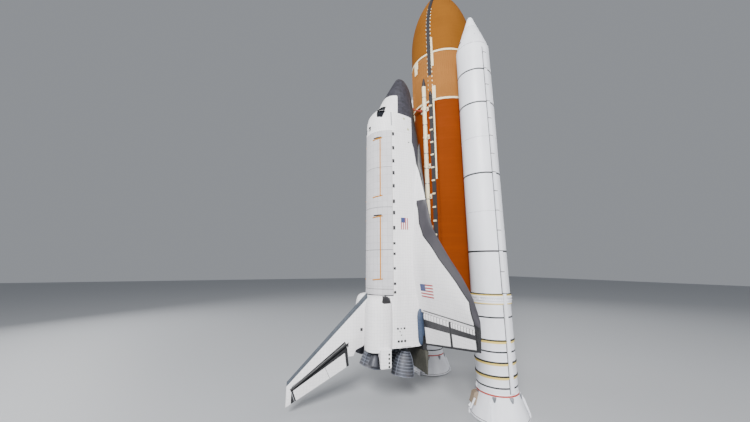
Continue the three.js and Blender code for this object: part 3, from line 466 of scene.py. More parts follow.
def bell_alloy():
    # Nickel alloy tubes of the engine bells, blued by heat
    return surface("heat-tinted nickel alloy", srgb("43464F"), 0.55, 0.4, pattern=heat_tinted)


def hoop_alloy():
    # Welded hoops of the same alloy, paler where they were ground
    return surface("ground nickel alloy", srgb("747986"), 0.5, 0.4, pattern=heat_tinted)


def coated_bell():
    # Niobium bell with a dark silicide coat
    return surface("silicide-coated niobium", srgb("46474E"), 0.5, 0.35)


def liner():
    # Charred carbon-phenolic liner
    return surface("carbon phenolic liner", srgb("151415"), 0.8)


def rail_paint():
    return surface("orange-yellow rail paint", srgb("C48000"), 0.6, Specular_IOR_Level=0.15)


def radiator():
    # Silvered film on aluminium radiators
    return surface("silvered radiator film", srgb("C9CDD2"), 0.18, 0.85)


def bay_cloth():
    # Glass cloth liner of the payload bay
    return surface("woven glass cloth", srgb("D8D2C2"), 0.8, pattern=quilted(0.1422, 0.1))


def stripe_paint(code):
    return surface("stripe enamel " + code, srgb(code), 0.5)


# Meshes, made in inches in the axes of the tank, a booster or the orbiter


def loft(rings, caps=True):
    """Skin over rings of points. Its UV map holds the length and the girth in metres."""
    form = bmesh.new()
    uv = form.loops.layers.uv.new("UVMap")
    count = len(rings[0])
    rows = []
    for ring in rings:
        pole = all((Vector(point) - Vector(ring[0])).length < 1e-6 for point in ring)
        points = ring[:1] if pole else ring
        made = [form.verts.new(point) for point in points]
        rows.append(made * count if pole else made)
    along = [0.0]
    for a, b in zip(rings, rings[1:]):
        along.append(along[-1] + max((Vector(p) - Vector(q)).length for p, q in zip(a, b)))
    girths = []
    for ring in rings:
        girth = [0.0]
        for k in range(count):
            girth.append(girth[-1] + (Vector(ring[(k + 1) % count]) - Vector(ring[k])).length)
        girths.append(girth)
    for i in range(len(rows) - 1):
        for j in range(count):
            corners = {}
            for row, column in ((i, j), (i, j + 1), (i + 1, j + 1), (i + 1, j)):
                corners.setdefault(rows[row][column % count], (along[row] * INCH, girths[row][column] * INCH))
            if len(corners) > 2:
                face = form.faces.new(list(corners))
                for loop in face.loops:
                    loop[uv].uv = corners[loop.vert]
    if caps:
        for row in (rows[0], rows[-1]):
            if row[0] is not row[1]:
                face = form.faces.new(row)
                face.normal_update()
                flat = max(range(3), key=lambda axis: abs(face.normal[axis]))
                u, v = [axis for axis in range(3) if axis != flat]
                for loop in face.loops:
                    loop[uv].uv = (loop.vert.co[u] * INCH, loop.vert.co[v] * INCH)
    else:
        bmesh.ops.remove_doubles(form, verts=form.verts, dist=1e-4)
    bmesh.ops.recalc_face_normals(form, faces=form.faces)
    return form


def revolve(profile, zero, sides, closed=False):
    """Turned form of pairs of station and radius; the height is the zero less the station"""
    rings = []
    for station, radius in profile:
        rings.append([(radius * math.cos(a), radius * math.sin(a), zero - station)
                      for a in (2 * math.pi * i / sides for i in range(sides))])
    return loft(rings + rings[:1], caps=False) if closed else loft(rings)


def block(low, high):
    form = bmesh.new()
    uv = form.loops.layers.uv.new("UVMap")
    bmesh.ops.create_cube(form, size=1)
    size = Vector(high) - Vector(low)
    middle = (Vector(high) + Vector(low)) / 2
    for vert in form.verts:
        vert.co = Vector(c * s for c, s in zip(vert.co, size)) + middle
    box_map(form, uv)
    return form


def box_map(form, uv=None, scale=INCH):
    """UV of each face from the two axes that it faces least"""
    uv = uv or form.loops.layers.uv.verify()
    form.normal_update()
    for face in form.faces:
        flat = max(range(3), key=lambda axis: abs(face.normal[axis]))
        u, v = [axis for axis in range(3) if axis != flat]
        for loop in face.loops:
            loop[uv].uv = (loop.vert.co[u] * scale, loop.vert.co[v] * scale)


def tube(points, radii, sides=10):
    """Round tube along points, closed at both ends; radii is one number, or one for each point"""
    path = [Vector(p) for p in points]
    sizes = radii if isinstance(radii, list) else [radii] * len(path)
    rings = []
    side = None
    for i, (point, r) in enumerate(zip(path, sizes)):
        way = (path[min(i + 1, len(path) - 1)] - path[max(i - 1, 0)]).normalized()
        if side is None:
            side = way.orthogonal().normalized()
        side = (side - way * side.dot(way)).normalized()
        up = way.cross(side)
        rings.append([tuple(point + side * (r * math.cos(a)) + up * (r * math.sin(a)))
                      for a in (2 * math.pi * k / sides for k in range(sides))])
    return loft(rings)


def ribbon(points, half, up):
    """Flat strip along points: half its width lies to each side, square to the way up"""
    path = [Vector(p) for p in points]
    low = Vector(up) * 0.5
    rings = []
    for i, point in enumerate(path):
        way = (path[min(i + 1, len(path) - 1)] - path[max(i - 1, 0)]).normalized()
        side = way.cross(Vector(up)).normalized() * half
        edge = [point - side, point + side]
        rings.append([tuple(p) for p in (*edge, edge[1] - low, edge[0] - low)])
    return loft(rings)


def joined(*forms):
    """One form of several; each keeps its faces"""
    total = forms[0]
    uv = total.loops.layers.uv.verify()
    for form in forms[1:]:
        other = form.loops.layers.uv.verify()
        verts = {v: total.verts.new(v.co) for v in form.verts}
        for face in form.faces:
            made = total.faces.new([verts[v] for v in face.verts])
            made.material_index = face.material_index
            for loop, old in zip(made.loops, face.loops):
                loop[uv].uv = old[other].uv
        form.free()
    return total


def moved(form, matrix):
    bmesh.ops.transform(form, matrix=matrix, verts=form.verts)
    return form


def mirrored(form):
    """Copy on the other side of the orbiter"""
    copy = form.copy()
    for vert in copy.verts:
        vert.co.y = -vert.co.y
    bmesh.ops.reverse_faces(copy, faces=copy.faces)
    return copy


def on_side(form, side):
    """Copy of a starboard form for either side"""
    return form.copy() if side > 0 else mirrored(form)


def turned_about(angle, axis="Z"):
    return Matrix.Rotation(math.radians(angle), 4, axis)


def split(form, point, normal):
    bmesh.ops.bisect_plane(form, geom=form.verts[:] + form.edges[:] + form.faces[:],
                           plane_co=point, plane_no=normal, dist=1e-4)


def paint(form, index, inside):
    """Gives faces whose middle passes a test another material"""
    form.normal_update()
    for face in form.faces:
        if inside(face.calc_center_median(), face.normal):
            face.material_index = index


def banded(form, zero, bands):
    """Paints rings between two stations: (from, to, material index)"""
    for start, end, _ in bands:
        for station in (start, end):
            split(form, (0, 0, zero - station), (0, 0, 1))
    for start, end, index in bands:
        paint(form, index, lambda c, n: start < zero - c.z < end)


def temporary(form):
    mesh = bpy.data.meshes.new("tool")
    form.to_mesh(mesh)
    form.free()
    tool = bpy.data.objects.new("tool", mesh)
    bpy.context.scene.collection.objects.link(tool)
    return tool


def evaluated_form(target):
    graph = bpy.context.evaluated_depsgraph_get()
    mesh = bpy.data.meshes.new_from_object(target.evaluated_get(graph), depsgraph=graph)
    form = bmesh.new()
    form.from_mesh(mesh)
    bpy.data.meshes.remove(mesh)
    return form


def discard(*objects):
    for thing in objects:
        mesh = thing.data
        bpy.data.objects.remove(thing)
        bpy.data.meshes.remove(mesh)


def carved(form, *tools, operation="DIFFERENCE"):
    """Form less its tools, or what it shares with them; the tools are used up"""
    target = temporary(form)
    cutters = [temporary(tool) for tool in tools]
    for cutter in cutters:
        change = target.modifiers.new("Carve", "BOOLEAN")
        change.operation, change.solver, change.object = operation, "EXACT", cutter
    result = evaluated_form(target)
    discard(target, *cutters)
    return result


def piece(name, form, place, materials, nodes=(), body="root", sharp=32):
    """Finished object of a form, riding a body and standing for CAD nodes"""
    # Boolean cuts can leave hairline openings, which are closed here
    rims = [e for e in form.edges if e.is_boundary]
    if rims:
        bmesh.ops.remove_doubles(form, verts=list({v for e in rims for v in e.verts}), dist=0.02)
        bmesh.ops.holes_fill(form, edges=[e for e in form.edges if e.is_boundary], sides=0)
    if place is not None:
        moved(form, place)
    mesh = bpy.data.meshes.new(name)
    form.to_mesh(mesh)
    form.free()
    for material in materials:
        mesh.materials.append(material)
    mesh.shade_smooth()
    mesh.set_sharp_from_angle(angle=math.radians(sharp))
    thing = bpy.data.objects.new(name, mesh)
    bpy.context.scene.collection.objects.link(thing)
    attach(thing, body)
    if nodes:
        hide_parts(*nodes)
    return thing


def cad_form(node):
    """Merged copy of a CAD node in metres, with its UV map by faces"""
    form = bmesh.new()
    form.from_mesh(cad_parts[node].data)
    bmesh.ops.remove_doubles(form, verts=form.verts, dist=1e-5)
    bmesh.ops.recalc_face_normals(form, faces=form.faces)
    for face in form.faces:
        face.material_index = 0
    box_map(form, scale=1.0)
    return form


def copied(node, material):
    """Smooth copy of a CAD node with a finish"""
    return piece(node + "_skin", cad_form(node), None, [material], [node])


REPEAT = {}


def repeat_tree():
    """Node group that repeats its input round the upright axis and then along a step"""
    if REPEAT:
        return REPEAT["tree"]
    tree = bpy.data.node_groups.new("Repeat round and along", "GeometryNodeTree")
    faces = tree.interface
    faces.new_socket("Geometry", in_out="INPUT", socket_type="NodeSocketGeometry")
    for label, kind in (("Round Count", "Int"), ("Round Step", "Float"), ("First Angle", "Float"),
                        ("Along Count", "Int"), ("Along Step", "Vector"), ("Centre", "Vector"),
                        ("Material", "Material")):
        faces.new_socket(label, in_out="INPUT", socket_type="NodeSocket" + kind)
    faces.new_socket("Geometry", in_out="OUTPUT", socket_type="NodeSocketGeometry")
    start = add(tree, "NodeGroupInput").outputs
    turn = add(tree, "ShaderNodeMath", {
        0: add(tree, "GeometryNodeInputIndex").outputs[0], 1: start["Round Step"],
        2: start["First Angle"]}, operation="MULTIPLY_ADD").outputs[0]
    spin = add(tree, "FunctionNodeEulerToRotation", {
        0: add(tree, "ShaderNodeCombineXYZ", {2: turn}).outputs[0]}).outputs[0]
    ring = add(tree, "GeometryNodeMeshLine", {
        "Count": start["Round Count"], "Offset": (0, 0, 0)}).outputs[0]
    around = add(tree, "GeometryNodeInstanceOnPoints", {
        "Points": ring, "Instance": start["Geometry"], "Rotation": spin}).outputs[0]
    whole_ring = add(tree, "GeometryNodeRealizeInstances", {0: around}).outputs[0]
    line = add(tree, "GeometryNodeMeshLine", {
        "Count": start["Along Count"], "Offset": start["Along Step"]}).outputs[0]
    row = add(tree, "GeometryNodeInstanceOnPoints", {
        "Points": line, "Instance": whole_ring}).outputs[0]
    centred = add(tree, "GeometryNodeTransform", {
        "Geometry": row, "Translation": start["Centre"]}).outputs[0]
    real = add(tree, "GeometryNodeRealizeInstances", {0: centred}).outputs[0]
    finish = add(tree, "GeometryNodeSetMaterial", {
        "Geometry": real, "Material": start["Material"]}).outputs[0]
    add(tree, "NodeGroupOutput", {0: finish})
    REPEAT["tree"] = tree
    REPEAT["ids"] = {item.name: item.identifier for item in faces.items_tree if item.in_out == "INPUT"}
    return tree


def repeated(name, form, material, round_count=1, round_step=0.0, first=0.0,
             along_count=1, along_step=(0.0, 0.0, 0.0), centre=(0.0, 0.0, 0.0)):
    """Piece made of one small form, in metres, repeated round the upright axis and along a step"""
    tree = repeat_tree()
    seed = temporary(form)
    change = seed.modifiers.new("Repeat", "NODES")
    change.node_group = tree
    values = {"Round Count": round_count, "Round Step": math.radians(round_step),
              "First Angle": math.radians(first), "Along Count": along_count,
              "Along Step": along_step, "Centre": centre, "Material": material}
    for label, value in values.items():
        change[REPEAT["ids"][label]] = value
    result = evaluated_form(seed)
    discard(seed)
    return piece(name, result, None, [material])


# Tank

TANK_R = 165.8
FLANGE_R = 167.4
OGIVE = {"radius": 584, "start": 744, "tip": 371}
INTERTANK = (852.8, 1123.15)
FLANGE_HALF = 5
RIB_SKIN = 0.4
# Pointed spike on the tank's tip: station, radius
SPIKE = ((322.5, 3), (326, 4.2), (334, 6), (342, 11.5), (350, 18.5), (358, 23.5), (363, 26), (370.8, 29))
DOME = {"start": 2058, "depth": 115}
TANK_FRAMES = (1377, 1624, 1871, 2058)
FEEDLINE = {"angle": 23.5, "radius": 10, "top": 1040, "bottom": 2028, "fairing": 48}
COLLARS = {"first": 60, "step": 75, "count": 12}
BRACKETS = {"first": 120, "step": 150, "count": 6}
TRAY = {"angle": 34, "half": 9, "out": 6, "top": 400, "bottom": 2050}
# Stretch of the tray that is foamed over like the intertank
TRAY_PLAIN = (985, 1088)
RAMPS = {"first": 1153, "step": 64}
# Poured foam: angle, half width, first and last station
POURED = ((37.3, 7, 1128.5, 1497), (39.4, 10, 1046, 1116), (38.2, 6.5, 765, 846), (38.6, 8, 859, 932),
          (1.8, 17, 859, 900), (0.4, 12, 900, 926), (37.3, 6.5, 1497, 1530))
BIPOD = {"station": 1160, "aside": 44}


def ogive_radius(station):
    if station >= OGIVE["start"]:
        return TANK_R
    return TANK_R - OGIVE["radius"] + math.sqrt(OGIVE["radius"] ** 2 - (OGIVE["start"] - station) ** 2)


def on_tank(angle, radius, station):
    """Point on the tank, at an angle from the orbiter's side towards starboard"""
    a = math.radians(angle)
    return (radius * math.sin(a), -radius * math.cos(a), TANK_ZERO - station)


def tank_shell():
    sides = settings().tank.sides
    first, last = SPIKE[0][0] - 0.1, SPIKE[-1][0]
    piece("tank_spike", revolve([(first, 0), *SPIKE, (last, 0)], TANK_ZERO, 48), ON_TANK,
          [cream_foam()], ["tank_nose_spike"])
    top, bottom = INTERTANK
    upper, lower = top + FLANGE_HALF, bottom - FLANGE_HALF
    rows = [OGIVE["tip"] + (OGIVE["start"] - OGIVE["tip"]) * t**1.25 for t in steps(0, 1, 56)]
    ogive = [(OGIVE["tip"], 0)] + [(station, ogive_radius(station)) for station in rows]
    ogive += [(top - FLANGE_HALF - 0.01, TANK_R), (top - FLANGE_HALF, FLANGE_R),
              (top - GAP, FLANGE_R), (top - GAP, 0)]
    form = revolve(ogive, TANK_ZERO, sides)
    paint(form, 1, lambda c, n: TANK_ZERO - c.z > top - FLANGE_HALF)
    piece("oxygen_tank", form, ON_TANK, [ogive_foam(), cream_foam()],
          ["tank_liquid_oxygen"])
    middle = [(top, 0), (top, FLANGE_R), (upper, FLANGE_R), (upper + 0.01, TANK_R - RIB_SKIN),
              (lower - 0.01, TANK_R - RIB_SKIN), (lower, FLANGE_R), (bottom - GAP, FLANGE_R),
              (bottom - GAP, 0)]
    form = revolve(middle, TANK_ZERO, sides)
    paint(form, 1, lambda c, n: not upper < TANK_ZERO - c.z < lower)
    piece("intertank", form, ON_TANK, [ribbed_foam(), cream_foam()], ["tank_intertank"])
    end, depth = DOME["start"], DOME["depth"]
    dome = [(end + depth * math.sin(a), TANK_R * math.cos(a)) for a in steps(0, math.pi / 2 - 0.001, 22)]
    low = [(bottom, 0), (bottom, FLANGE_R), (bottom + FLANGE_HALF, FLANGE_R),
           (bottom + FLANGE_HALF + 0.01, TANK_R)]
    form = revolve(low + dome + [(end + depth, 0)], TANK_ZERO, sides)
    paint(form, 1, lambda c, n: TANK_ZERO - c.z < bottom + FLANGE_HALF)
    piece("hydrogen_tank", form, ON_TANK, [lower_foam(), cream_foam()],
          ["tank_liquid_hydrogen"])

    # Stringers of the intertank
    count = settings().tank.stringers
    rib = moved(block((-1.9, -TANK_R - 1.1, TANK_ZERO - bottom + 7),
                      (1.9, -TANK_R + 2, TANK_ZERO - top - 7)), TO_METRES)
    upright = [e for e in rib.edges if abs(e.verts[0].co.z - e.verts[1].co.z) > 0.1]
    bmesh.ops.bevel(rib, geom=upright, offset=0.7 * INCH, segments=1, affect="EDGES")
    repeated("intertank_stringers", rib, ribbed_foam(), count, 360 / count, 0.5,
             centre=(0, AXIS_Y, 0))

    # Ring frames under the foam show as faint swellings
    for station in TANK_FRAMES:
        swell = [(station + d, TANK_R + out) for d, out in ((-4, -1), (-1.5, 0.35), (1.5, 0.35), (4, -1))]
        piece("tank_ring_%d" % station, revolve(swell, TANK_ZERO, sides, closed=True), ON_TANK,
              [lower_foam()], sharp=60)


def tank_strip(angle, half, out, top, bottom, base=0.0):
    """Flat strip that follows the tank's skin"""
    edge = 0.8
    rings = []
    for station in steps(top, bottom, max(2, int((bottom - top) / 25))):
        near = ogive_radius(station) - 1.5 + base
        far = ogive_radius(station) + out
        rings.append([(x, y, TANK_ZERO - station) for x, y in
                      ((-half, -near), (half, -near), (half, -far + edge), (half - edge, -far),
                       (-half + edge, -far), (-half, -far + edge))])
    return moved(loft(rings), turned_about(angle))


def feed_pipe():
    """Oxygen feed pipe with its pointed black cap, collars, brackets and pads"""
    angle, radius, top, bottom = (FEEDLINE[k] for k in ("angle", "radius", "top", "bottom"))
    run = FLANGE_R + GAP + radius + 1
    head = on_tank(angle, run, top)
    tip = on_tank(angle, run - 1, top - FEEDLINE["fairing"])
    pipe = tube([head] + [on_tank(angle, run, s) for s in steps(top, bottom, 40)][1:], radius, 28)
    piece("feed_pipe", pipe, ON_TANK, [cream_foam()], ["tank_feedline"])
    inner = [tuple(Vector(tip).lerp(Vector(head), t)) for t in (0.25, 0.6)]
    cone = tube([tip, *inner, head], [2.6, 5.4, 8.4, radius], 28)
    piece("feed_pipe_fairing", cone, ON_TANK, [dark_edge()])
    lip = radius + 0.7
    collar = tube([(0, 0, z) for z in (-2.2, -1.6, 1.6, 2.2)], [radius, lip, lip, radius], 28)
    collar = moved(collar, Matrix.Translation(on_tank(angle, run, top + COLLARS["first"])))
    repeated("feed_pipe_collars", moved(collar, ON_TANK), steel(),
             along_count=COLLARS["count"], along_step=(0, 0, -COLLARS["step"] * INCH))
    for name, form in (
            ("brackets", block((-radius - 2, -run - 3.5, -3), (radius + 2, -TANK_R - 0.4, 3))),
            ("pads", block((-15, -TANK_R - 2.2, -11), (15, -TANK_R + 1, 11)))):
        form = moved(moved(form, turned_about(angle)),
                     Matrix.Translation((0, 0, TANK_ZERO - top - BRACKETS["first"])))
        repeated("feed_pipe_" + name, moved(form, ON_TANK), cream_foam(),
                 along_count=BRACKETS["count"], along_step=(0, 0, -BRACKETS["step"] * INCH))


def cable_tray():
    """Cable tray with its cap, ramps and feet, and the pressure lines beside it"""
    angle, half, out, top, bottom = (TRAY[k] for k in ("angle", "half", "out", "top", "bottom"))
    tray = tank_strip(angle, half, out + 0.2, top, bottom, base=1.6)
    for station in TRAY_PLAIN:
        split(tray, (0, 0, TANK_ZERO - station), (0, 0, 1))
    paint(tray, 1, lambda c, n: TRAY_PLAIN[0] < TANK_ZERO - c.z < TRAY_PLAIN[1])
    piece("cable_tray", tray, ON_TANK, [dark_edge(), ribbed_foam()], ["tank_cable_tray"])
    hump = ((1066, 1), (1072, 2.5), (1080, 4), (1090, 4.4), (1096, 3))
    cap = tube([on_tank(angle, ogive_radius(s) + lift, s) for s, lift in hump], [0.8, 4.2, 6.6, 7.6, 7.6], 16)
    piece("cable_tray_cap", cap, ON_TANK, [dark_edge()])
    rings = []
    for z, share in ((-5, 0.2), (-3, 1.0), (3.5, 1.0), (6, 0.2)):
        far = FLANGE_R + 0.2 + (out + 2.4) * share
        rings.append([(-half - 0.6, -TANK_R + 1, z), (half - 3, -TANK_R + 1, z),
                      (half - 3.4, -far, z), (-half, -far, z)])
    ramp = moved(loft(rings), Matrix.Translation((0, 0, TANK_ZERO - RAMPS["first"])) @ turned_about(angle))
    count = int((bottom - 10 - RAMPS["first"]) / RAMPS["step"]) + 1
    repeated("cable_tray_ramps", moved(ramp, ON_TANK), cream_foam(),
             along_count=count, along_step=(0, 0, -RAMPS["step"] * INCH))
    # Small foam feet on both sides of the tray where it climbs the upper tank
    feet = []
    for station in steps(560, 1060, 20):
        for side in (-1, 1):
            at = Vector(on_tank(angle + side * 3.6, ogive_radius(station) + 0.5, station + side * 4))
            foot = block((-2.2, -1.6, -4.5), (2.2, 1.6, 4.5))
            feet.append(moved(foot, Matrix.Translation(at) @ turned_about(angle)))
    piece("cable_tray_feet", joined(*feet), ON_TANK, [cream_foam()])
    for offset, size in ((7.2, 1.7), (8.6, 1.2)):
        line = [on_tank(angle + offset, TANK_R + 2.4, s) for s in steps(1140, 2040, 30)]
        piece("pressure_line_%d" % (offset * 10), tube(line, size, 10), ON_TANK, [lower_foam()])
    # Fresh poured foam beside the tray and over the closed-out frames
    for number, (place, breadth, start, end) in enumerate(POURED):
        thick = 1.9 if INTERTANK[0] < start < INTERTANK[1] else 0.5
        piece("poured_foam_%d" % number, tank_strip(place, breadth, thick, start, end), ON_TANK,
              [cream_foam()])


def tank_attachments():
    """Forward and aft attachments, with poured foam over the feet of the forward one"""
    bipod = cad_form("tank_bipod")
    paint(bipod, 1, lambda c, n: c.x > 0)
    piece("tank_bipod_skin", bipod, None, [cream_foam(), red_foam()], ["tank_bipod"])
    copied("tank_aft_attach", steel())
    half, rise = 14, 9
    for side, label in SIDES[::-1]:
        lean = math.degrees(math.asin(BIPOD["aside"] / TANK_R)) * side
        mound = []
        for z, share in ((30, 0.02), (22, 0.5), (10, 1.0), (-8, 1.0), (-16, 0.4), (-20, 0.02)):
            mound.append([(half * share * math.cos(a), -TANK_R + 1 - rise * share * max(0, math.sin(a)), z)
                          for a in (math.pi * k / 10 for k in range(11))] +
                         [(-half * share, -TANK_R + 2, z), (half * share, -TANK_R + 2, z)])
        form = moved(loft(mound),
                     Matrix.Translation((0, 0, TANK_ZERO - BIPOD["station"])) @ turned_about(lean))
        piece("bipod_ramp_" + label, form, ON_TANK, [cream_foam()], sharp=60)


# Boosters

BOOSTER_R = 73
# Nose cap from its tip to its foot, and the cone under it: station, radius
NOSE_TIP = ((200, 0), (200.4, 3), (201.5, 6), (203, 8.6), (205, 10.5), (208, 12.3), (212, 13.9))
NOSE_END = (275, 34)
CONE_START = (275.8, 34.9)
CONE_END = (392, 72.4)
FORWARD_SKIRT = (395, 523)
# Thin black lines at both ends of the cone, and the fitting that carries the tank
NOSE_LINES = ((273.2, 274.2, 1), (391.8, 392.6, 1))
FITTING = {"top": 427.6, "bottom": 456.4, "half": 9, "depth": 12}
SKIRT = {"top": 1837, "radius": 104, "wall": 2.4, "shoulder": 9, "shoulder_radius": 76, "foot": 3}
POST_ANGLES = (30, 150, 210, 330)
CASE_JOINTS = (531, 691.5, 851.5, 1011.5, 1171.5, 1331.5, 1491.5)
BLACK_JOINTS = (531, 691.5, 1011.5, 1331.5)
THIN_JOINTS = (851.5, 1171.5)
STIFFENERS = (1660, 1735, 1781)
THIN_BANDS = (1577.5, 1697.5, 1817.6)
# Attach ring: station, half its height, and how far it stands out
ATTACH = (1511, 6, 6)
BELT = {"start": 1491, "end": 1530, "out": 3.4}
BELT_BANDS = ((1490.9, 1495.2, 1), (1495.2, 1499.5, 2), (1526.6, 1530.1, 2))
# Bolts of the ring, in degrees from the side that faces the orbiter
BOLTS = {"count": 56, "step": 6, "right": -78, "left": 102}
# Tunnel along the case: half the gap left for it, the place of the black lines along its sides, which are
# painted shadow, and its straps
TUNNEL = {"half": 7.8, "shadow_line": 7.5, "shadow_half": 0.8, "top": 420, "bottom": 1836,
          "first": 450, "step": 80, "count": 14}
# Forward separation motors in the cone, and the cone's vents: angle, station
NOSE_MOTORS = {"first": -22, "step": 6, "count": 4, "radius": 59.5, "station": 352}
CONE_VENTS = ((66, 334), (10, 336))
# Nozzle: height over the floor, radius
NOZZLE_OUT = ((93.6, 0), (93.6, 40), (82, 43.4), (70, 48), (55, 53.2), (40, 59), (20, 65), (2.5, 69.5))
NOZZLE_IN = ((2.5, 66.5), (20, 62), (40, 56), (55, 50.2), (70, 45), (85.6, 37), (85.6, 0))


def on_case(angle, radius, station):
    """Point on a booster, at an angle from the orbiter's side"""
    a = math.radians(angle)
    return (radius * math.sin(a), -radius * math.cos(a), BOOSTER_ZERO - station)


def booster_materials():
    return [booster_paint(), joint_band(), marker_paint(), red_paint(), steel()]


def turned_in(form, side):
    """Starboard booster's form, turned half round for the port one, since both face the tank"""
    return form if side > 0 else moved(form, turned_about(180))


def booster_shell(side, node, place):
    """Nose, forward skirt and motor case"""
    sides = settings().booster.sides
    materials = booster_materials()
    start, end = FORWARD_SKIRT
    (tip, tip_r), (foot, foot_r) = NOSE_TIP[-1], NOSE_END
    nose = [*NOSE_TIP, *((s, tip_r + (foot_r - tip_r) * (s - tip) / (foot - tip)) for s in (230, 250, foot))]
    nose += [CONE_START, (330, CONE_START[1] + 17.7), CONE_END, (start - GAP, 72.9), (start - GAP, 0)]
    form = revolve(nose, BOOSTER_ZERO, sides)
    banded(form, BOOSTER_ZERO, NOSE_LINES)
    piece(node + "nose_skin", form, place, materials, [node + "nose"])

    form = revolve([(start, 0), (start, BOOSTER_R - 0.1), (end - GAP, BOOSTER_R - 0.1), (end - GAP, 0)],
                   BOOSTER_ZERO, sides)
    fitting = block((BOOSTER_R - FITTING["depth"], -FITTING["half"], BOOSTER_ZERO - FITTING["bottom"]),
                    (BOOSTER_X - TANK_R - GAP, FITTING["half"], BOOSTER_ZERO - FITTING["top"]))
    banded(form, BOOSTER_ZERO, [(start + 1, start + 1.8, 1)])
    piece(node + "forward_skirt_skin", joined(form, turned_in(fitting, -side)), place, materials,
          [node + "forward_skirt"])

    # Case: clevis joints stand slightly proud, stiffeners further
    profile = [(end, 0), (end, BOOSTER_R)]
    lifts = [(s, 1.9, 0.55) for s in CASE_JOINTS] + [(s, 1.6, 2.6) for s in STIFFENERS]
    lifts += [(s, 1.1, 0.5) for s in THIN_BANDS]
    for station, half, out in sorted(lifts):
        tail = 7 if out > 2 else 0
        profile += [(station - half, BOOSTER_R), (station - half + 0.2, BOOSTER_R + out),
                    (station + half - 0.2, BOOSTER_R + out), (station + half + tail, BOOSTER_R)]
    profile += [(SKIRT["top"] - GAP, BOOSTER_R), (SKIRT["top"] - GAP, 0)]
    form = revolve(profile, BOOSTER_ZERO, sides)
    dark = [(s - 3.4, s + 3.4, 1) for s in BLACK_JOINTS] + [(s - 0.3, s + 0.3, 1) for s in THIN_JOINTS]
    dark += [(s - 2.8, s + 2.8, 1) for s in THIN_BANDS]
    dark += [(s - 4.6, s + 0.6, 1) for s in STIFFENERS] + [(s + 0.6, s + 8.6, 2) for s in STIFFENERS]
    banded(form, BOOSTER_ZERO, dark)
    piece(node + "case", form, place, materials, [node + "motor"])


def booster_fittings(side, node, place):
    """Attach ring with its belts and bolts, and the cable tunnel with its straps and the black lines of
    painted shadow along its sides
    """
    sides = settings().booster.sides
    materials = booster_materials()
    # Attach ring, in two flanges and a web, with a gap for the tunnel
    station, half, out = ATTACH
    near, far = BOOSTER_R + GAP, BOOSTER_R + out

    def gated(form, low, high):
        gate = block((BOOSTER_R - 4, -TUNNEL["half"], BOOSTER_ZERO - low),
                     (BOOSTER_R + 20, TUNNEL["half"], BOOSTER_ZERO - high))
        return carved(form, turned_in(gate, side))

    ring = revolve([(station - half, near), (station - half, far), (station - half + 1.4, far),
                    (station - half + 1.6, far - 2.6), (station + half - 1.6, far - 2.6),
                    (station + half - 1.4, far), (station + half, far), (station + half, near)],
                   BOOSTER_ZERO, sides, closed=True)
    piece(node + "ring", gated(ring, station + 8, station - 8), place, materials,
          [node + "attach_ring"])
    # Foam belts above and below the ring, edged in yellow with a black line on top
    for first, last in ((BELT["start"], station - half - 0.2), (station + half + 0.2, BELT["end"])):
        belt = revolve([(first, BOOSTER_R - 1), (first, BOOSTER_R + BELT["out"]),
                        (last, BOOSTER_R + BELT["out"]), (last, BOOSTER_R - 1)],
                       BOOSTER_ZERO, sides, closed=True)
        belt = gated(belt, BELT["end"] + 10, BELT["start"] - 11)
        banded(belt, BOOSTER_ZERO, BELT_BANDS)
        piece(node + f"belt_{first:.0f}", belt, place, materials)
    middle = (place.translation.x, AXIS_Y, 0)
    bolt = tube([on_case(0, far - 2.8, station), on_case(0, far - 1.6, station)], 0.9, 8)
    repeated(node + "ring_bolts", moved(bolt, TO_METRES), steel(), BOLTS["count"],
             BOLTS["step"], BOLTS["right" if side > 0 else "left"], centre=middle)

    copied(node + "tunnel", booster_paint())
    # Black strips along both edges of the tunnel are painted shadow, standing for the shadow the tunnel casts
    # on the case
    for edge, label in ((-1, "a"), (1, "b")):
        at, half = edge * TUNNEL["shadow_line"], TUNNEL["shadow_half"]
        line = block((BOOSTER_R - 1, at - half, BOOSTER_ZERO - TUNNEL["bottom"]),
                     (BOOSTER_R + 1.3, at + half, BOOSTER_ZERO - TUNNEL["top"]))
        piece(node + "tunnel_shadow_line_" + label, turned_in(line, side), place, [joint_band()])
    strap = block((BOOSTER_R - 0.5, -7.6, -1.3), (BOOSTER_R + 5.9, 7.6, 1.3))
    strap = moved(strap, Matrix.Translation((0, 0, BOOSTER_ZERO - TUNNEL["first"]))
                  @ turned_about(0 if side > 0 else 180))
    repeated(node + "tunnel_straps", moved(strap, TO_METRES), joint_band(),
             along_count=TUNNEL["count"], along_step=(0, 0, -TUNNEL["step"] * INCH), centre=middle)


def on_skirt(angle, station, out):
    """Point on the skirt's cone, moved out from it"""
    start, end = SKIRT["top"] + SKIRT["shoulder"], BOOSTER_ZERO - SKIRT["foot"]
    share = (station - SKIRT["top"] - SKIRT["shoulder"]) / (end - start)
    return on_case(angle, lerp(SKIRT["shoulder_radius"], SKIRT["radius"], share) + out, station)


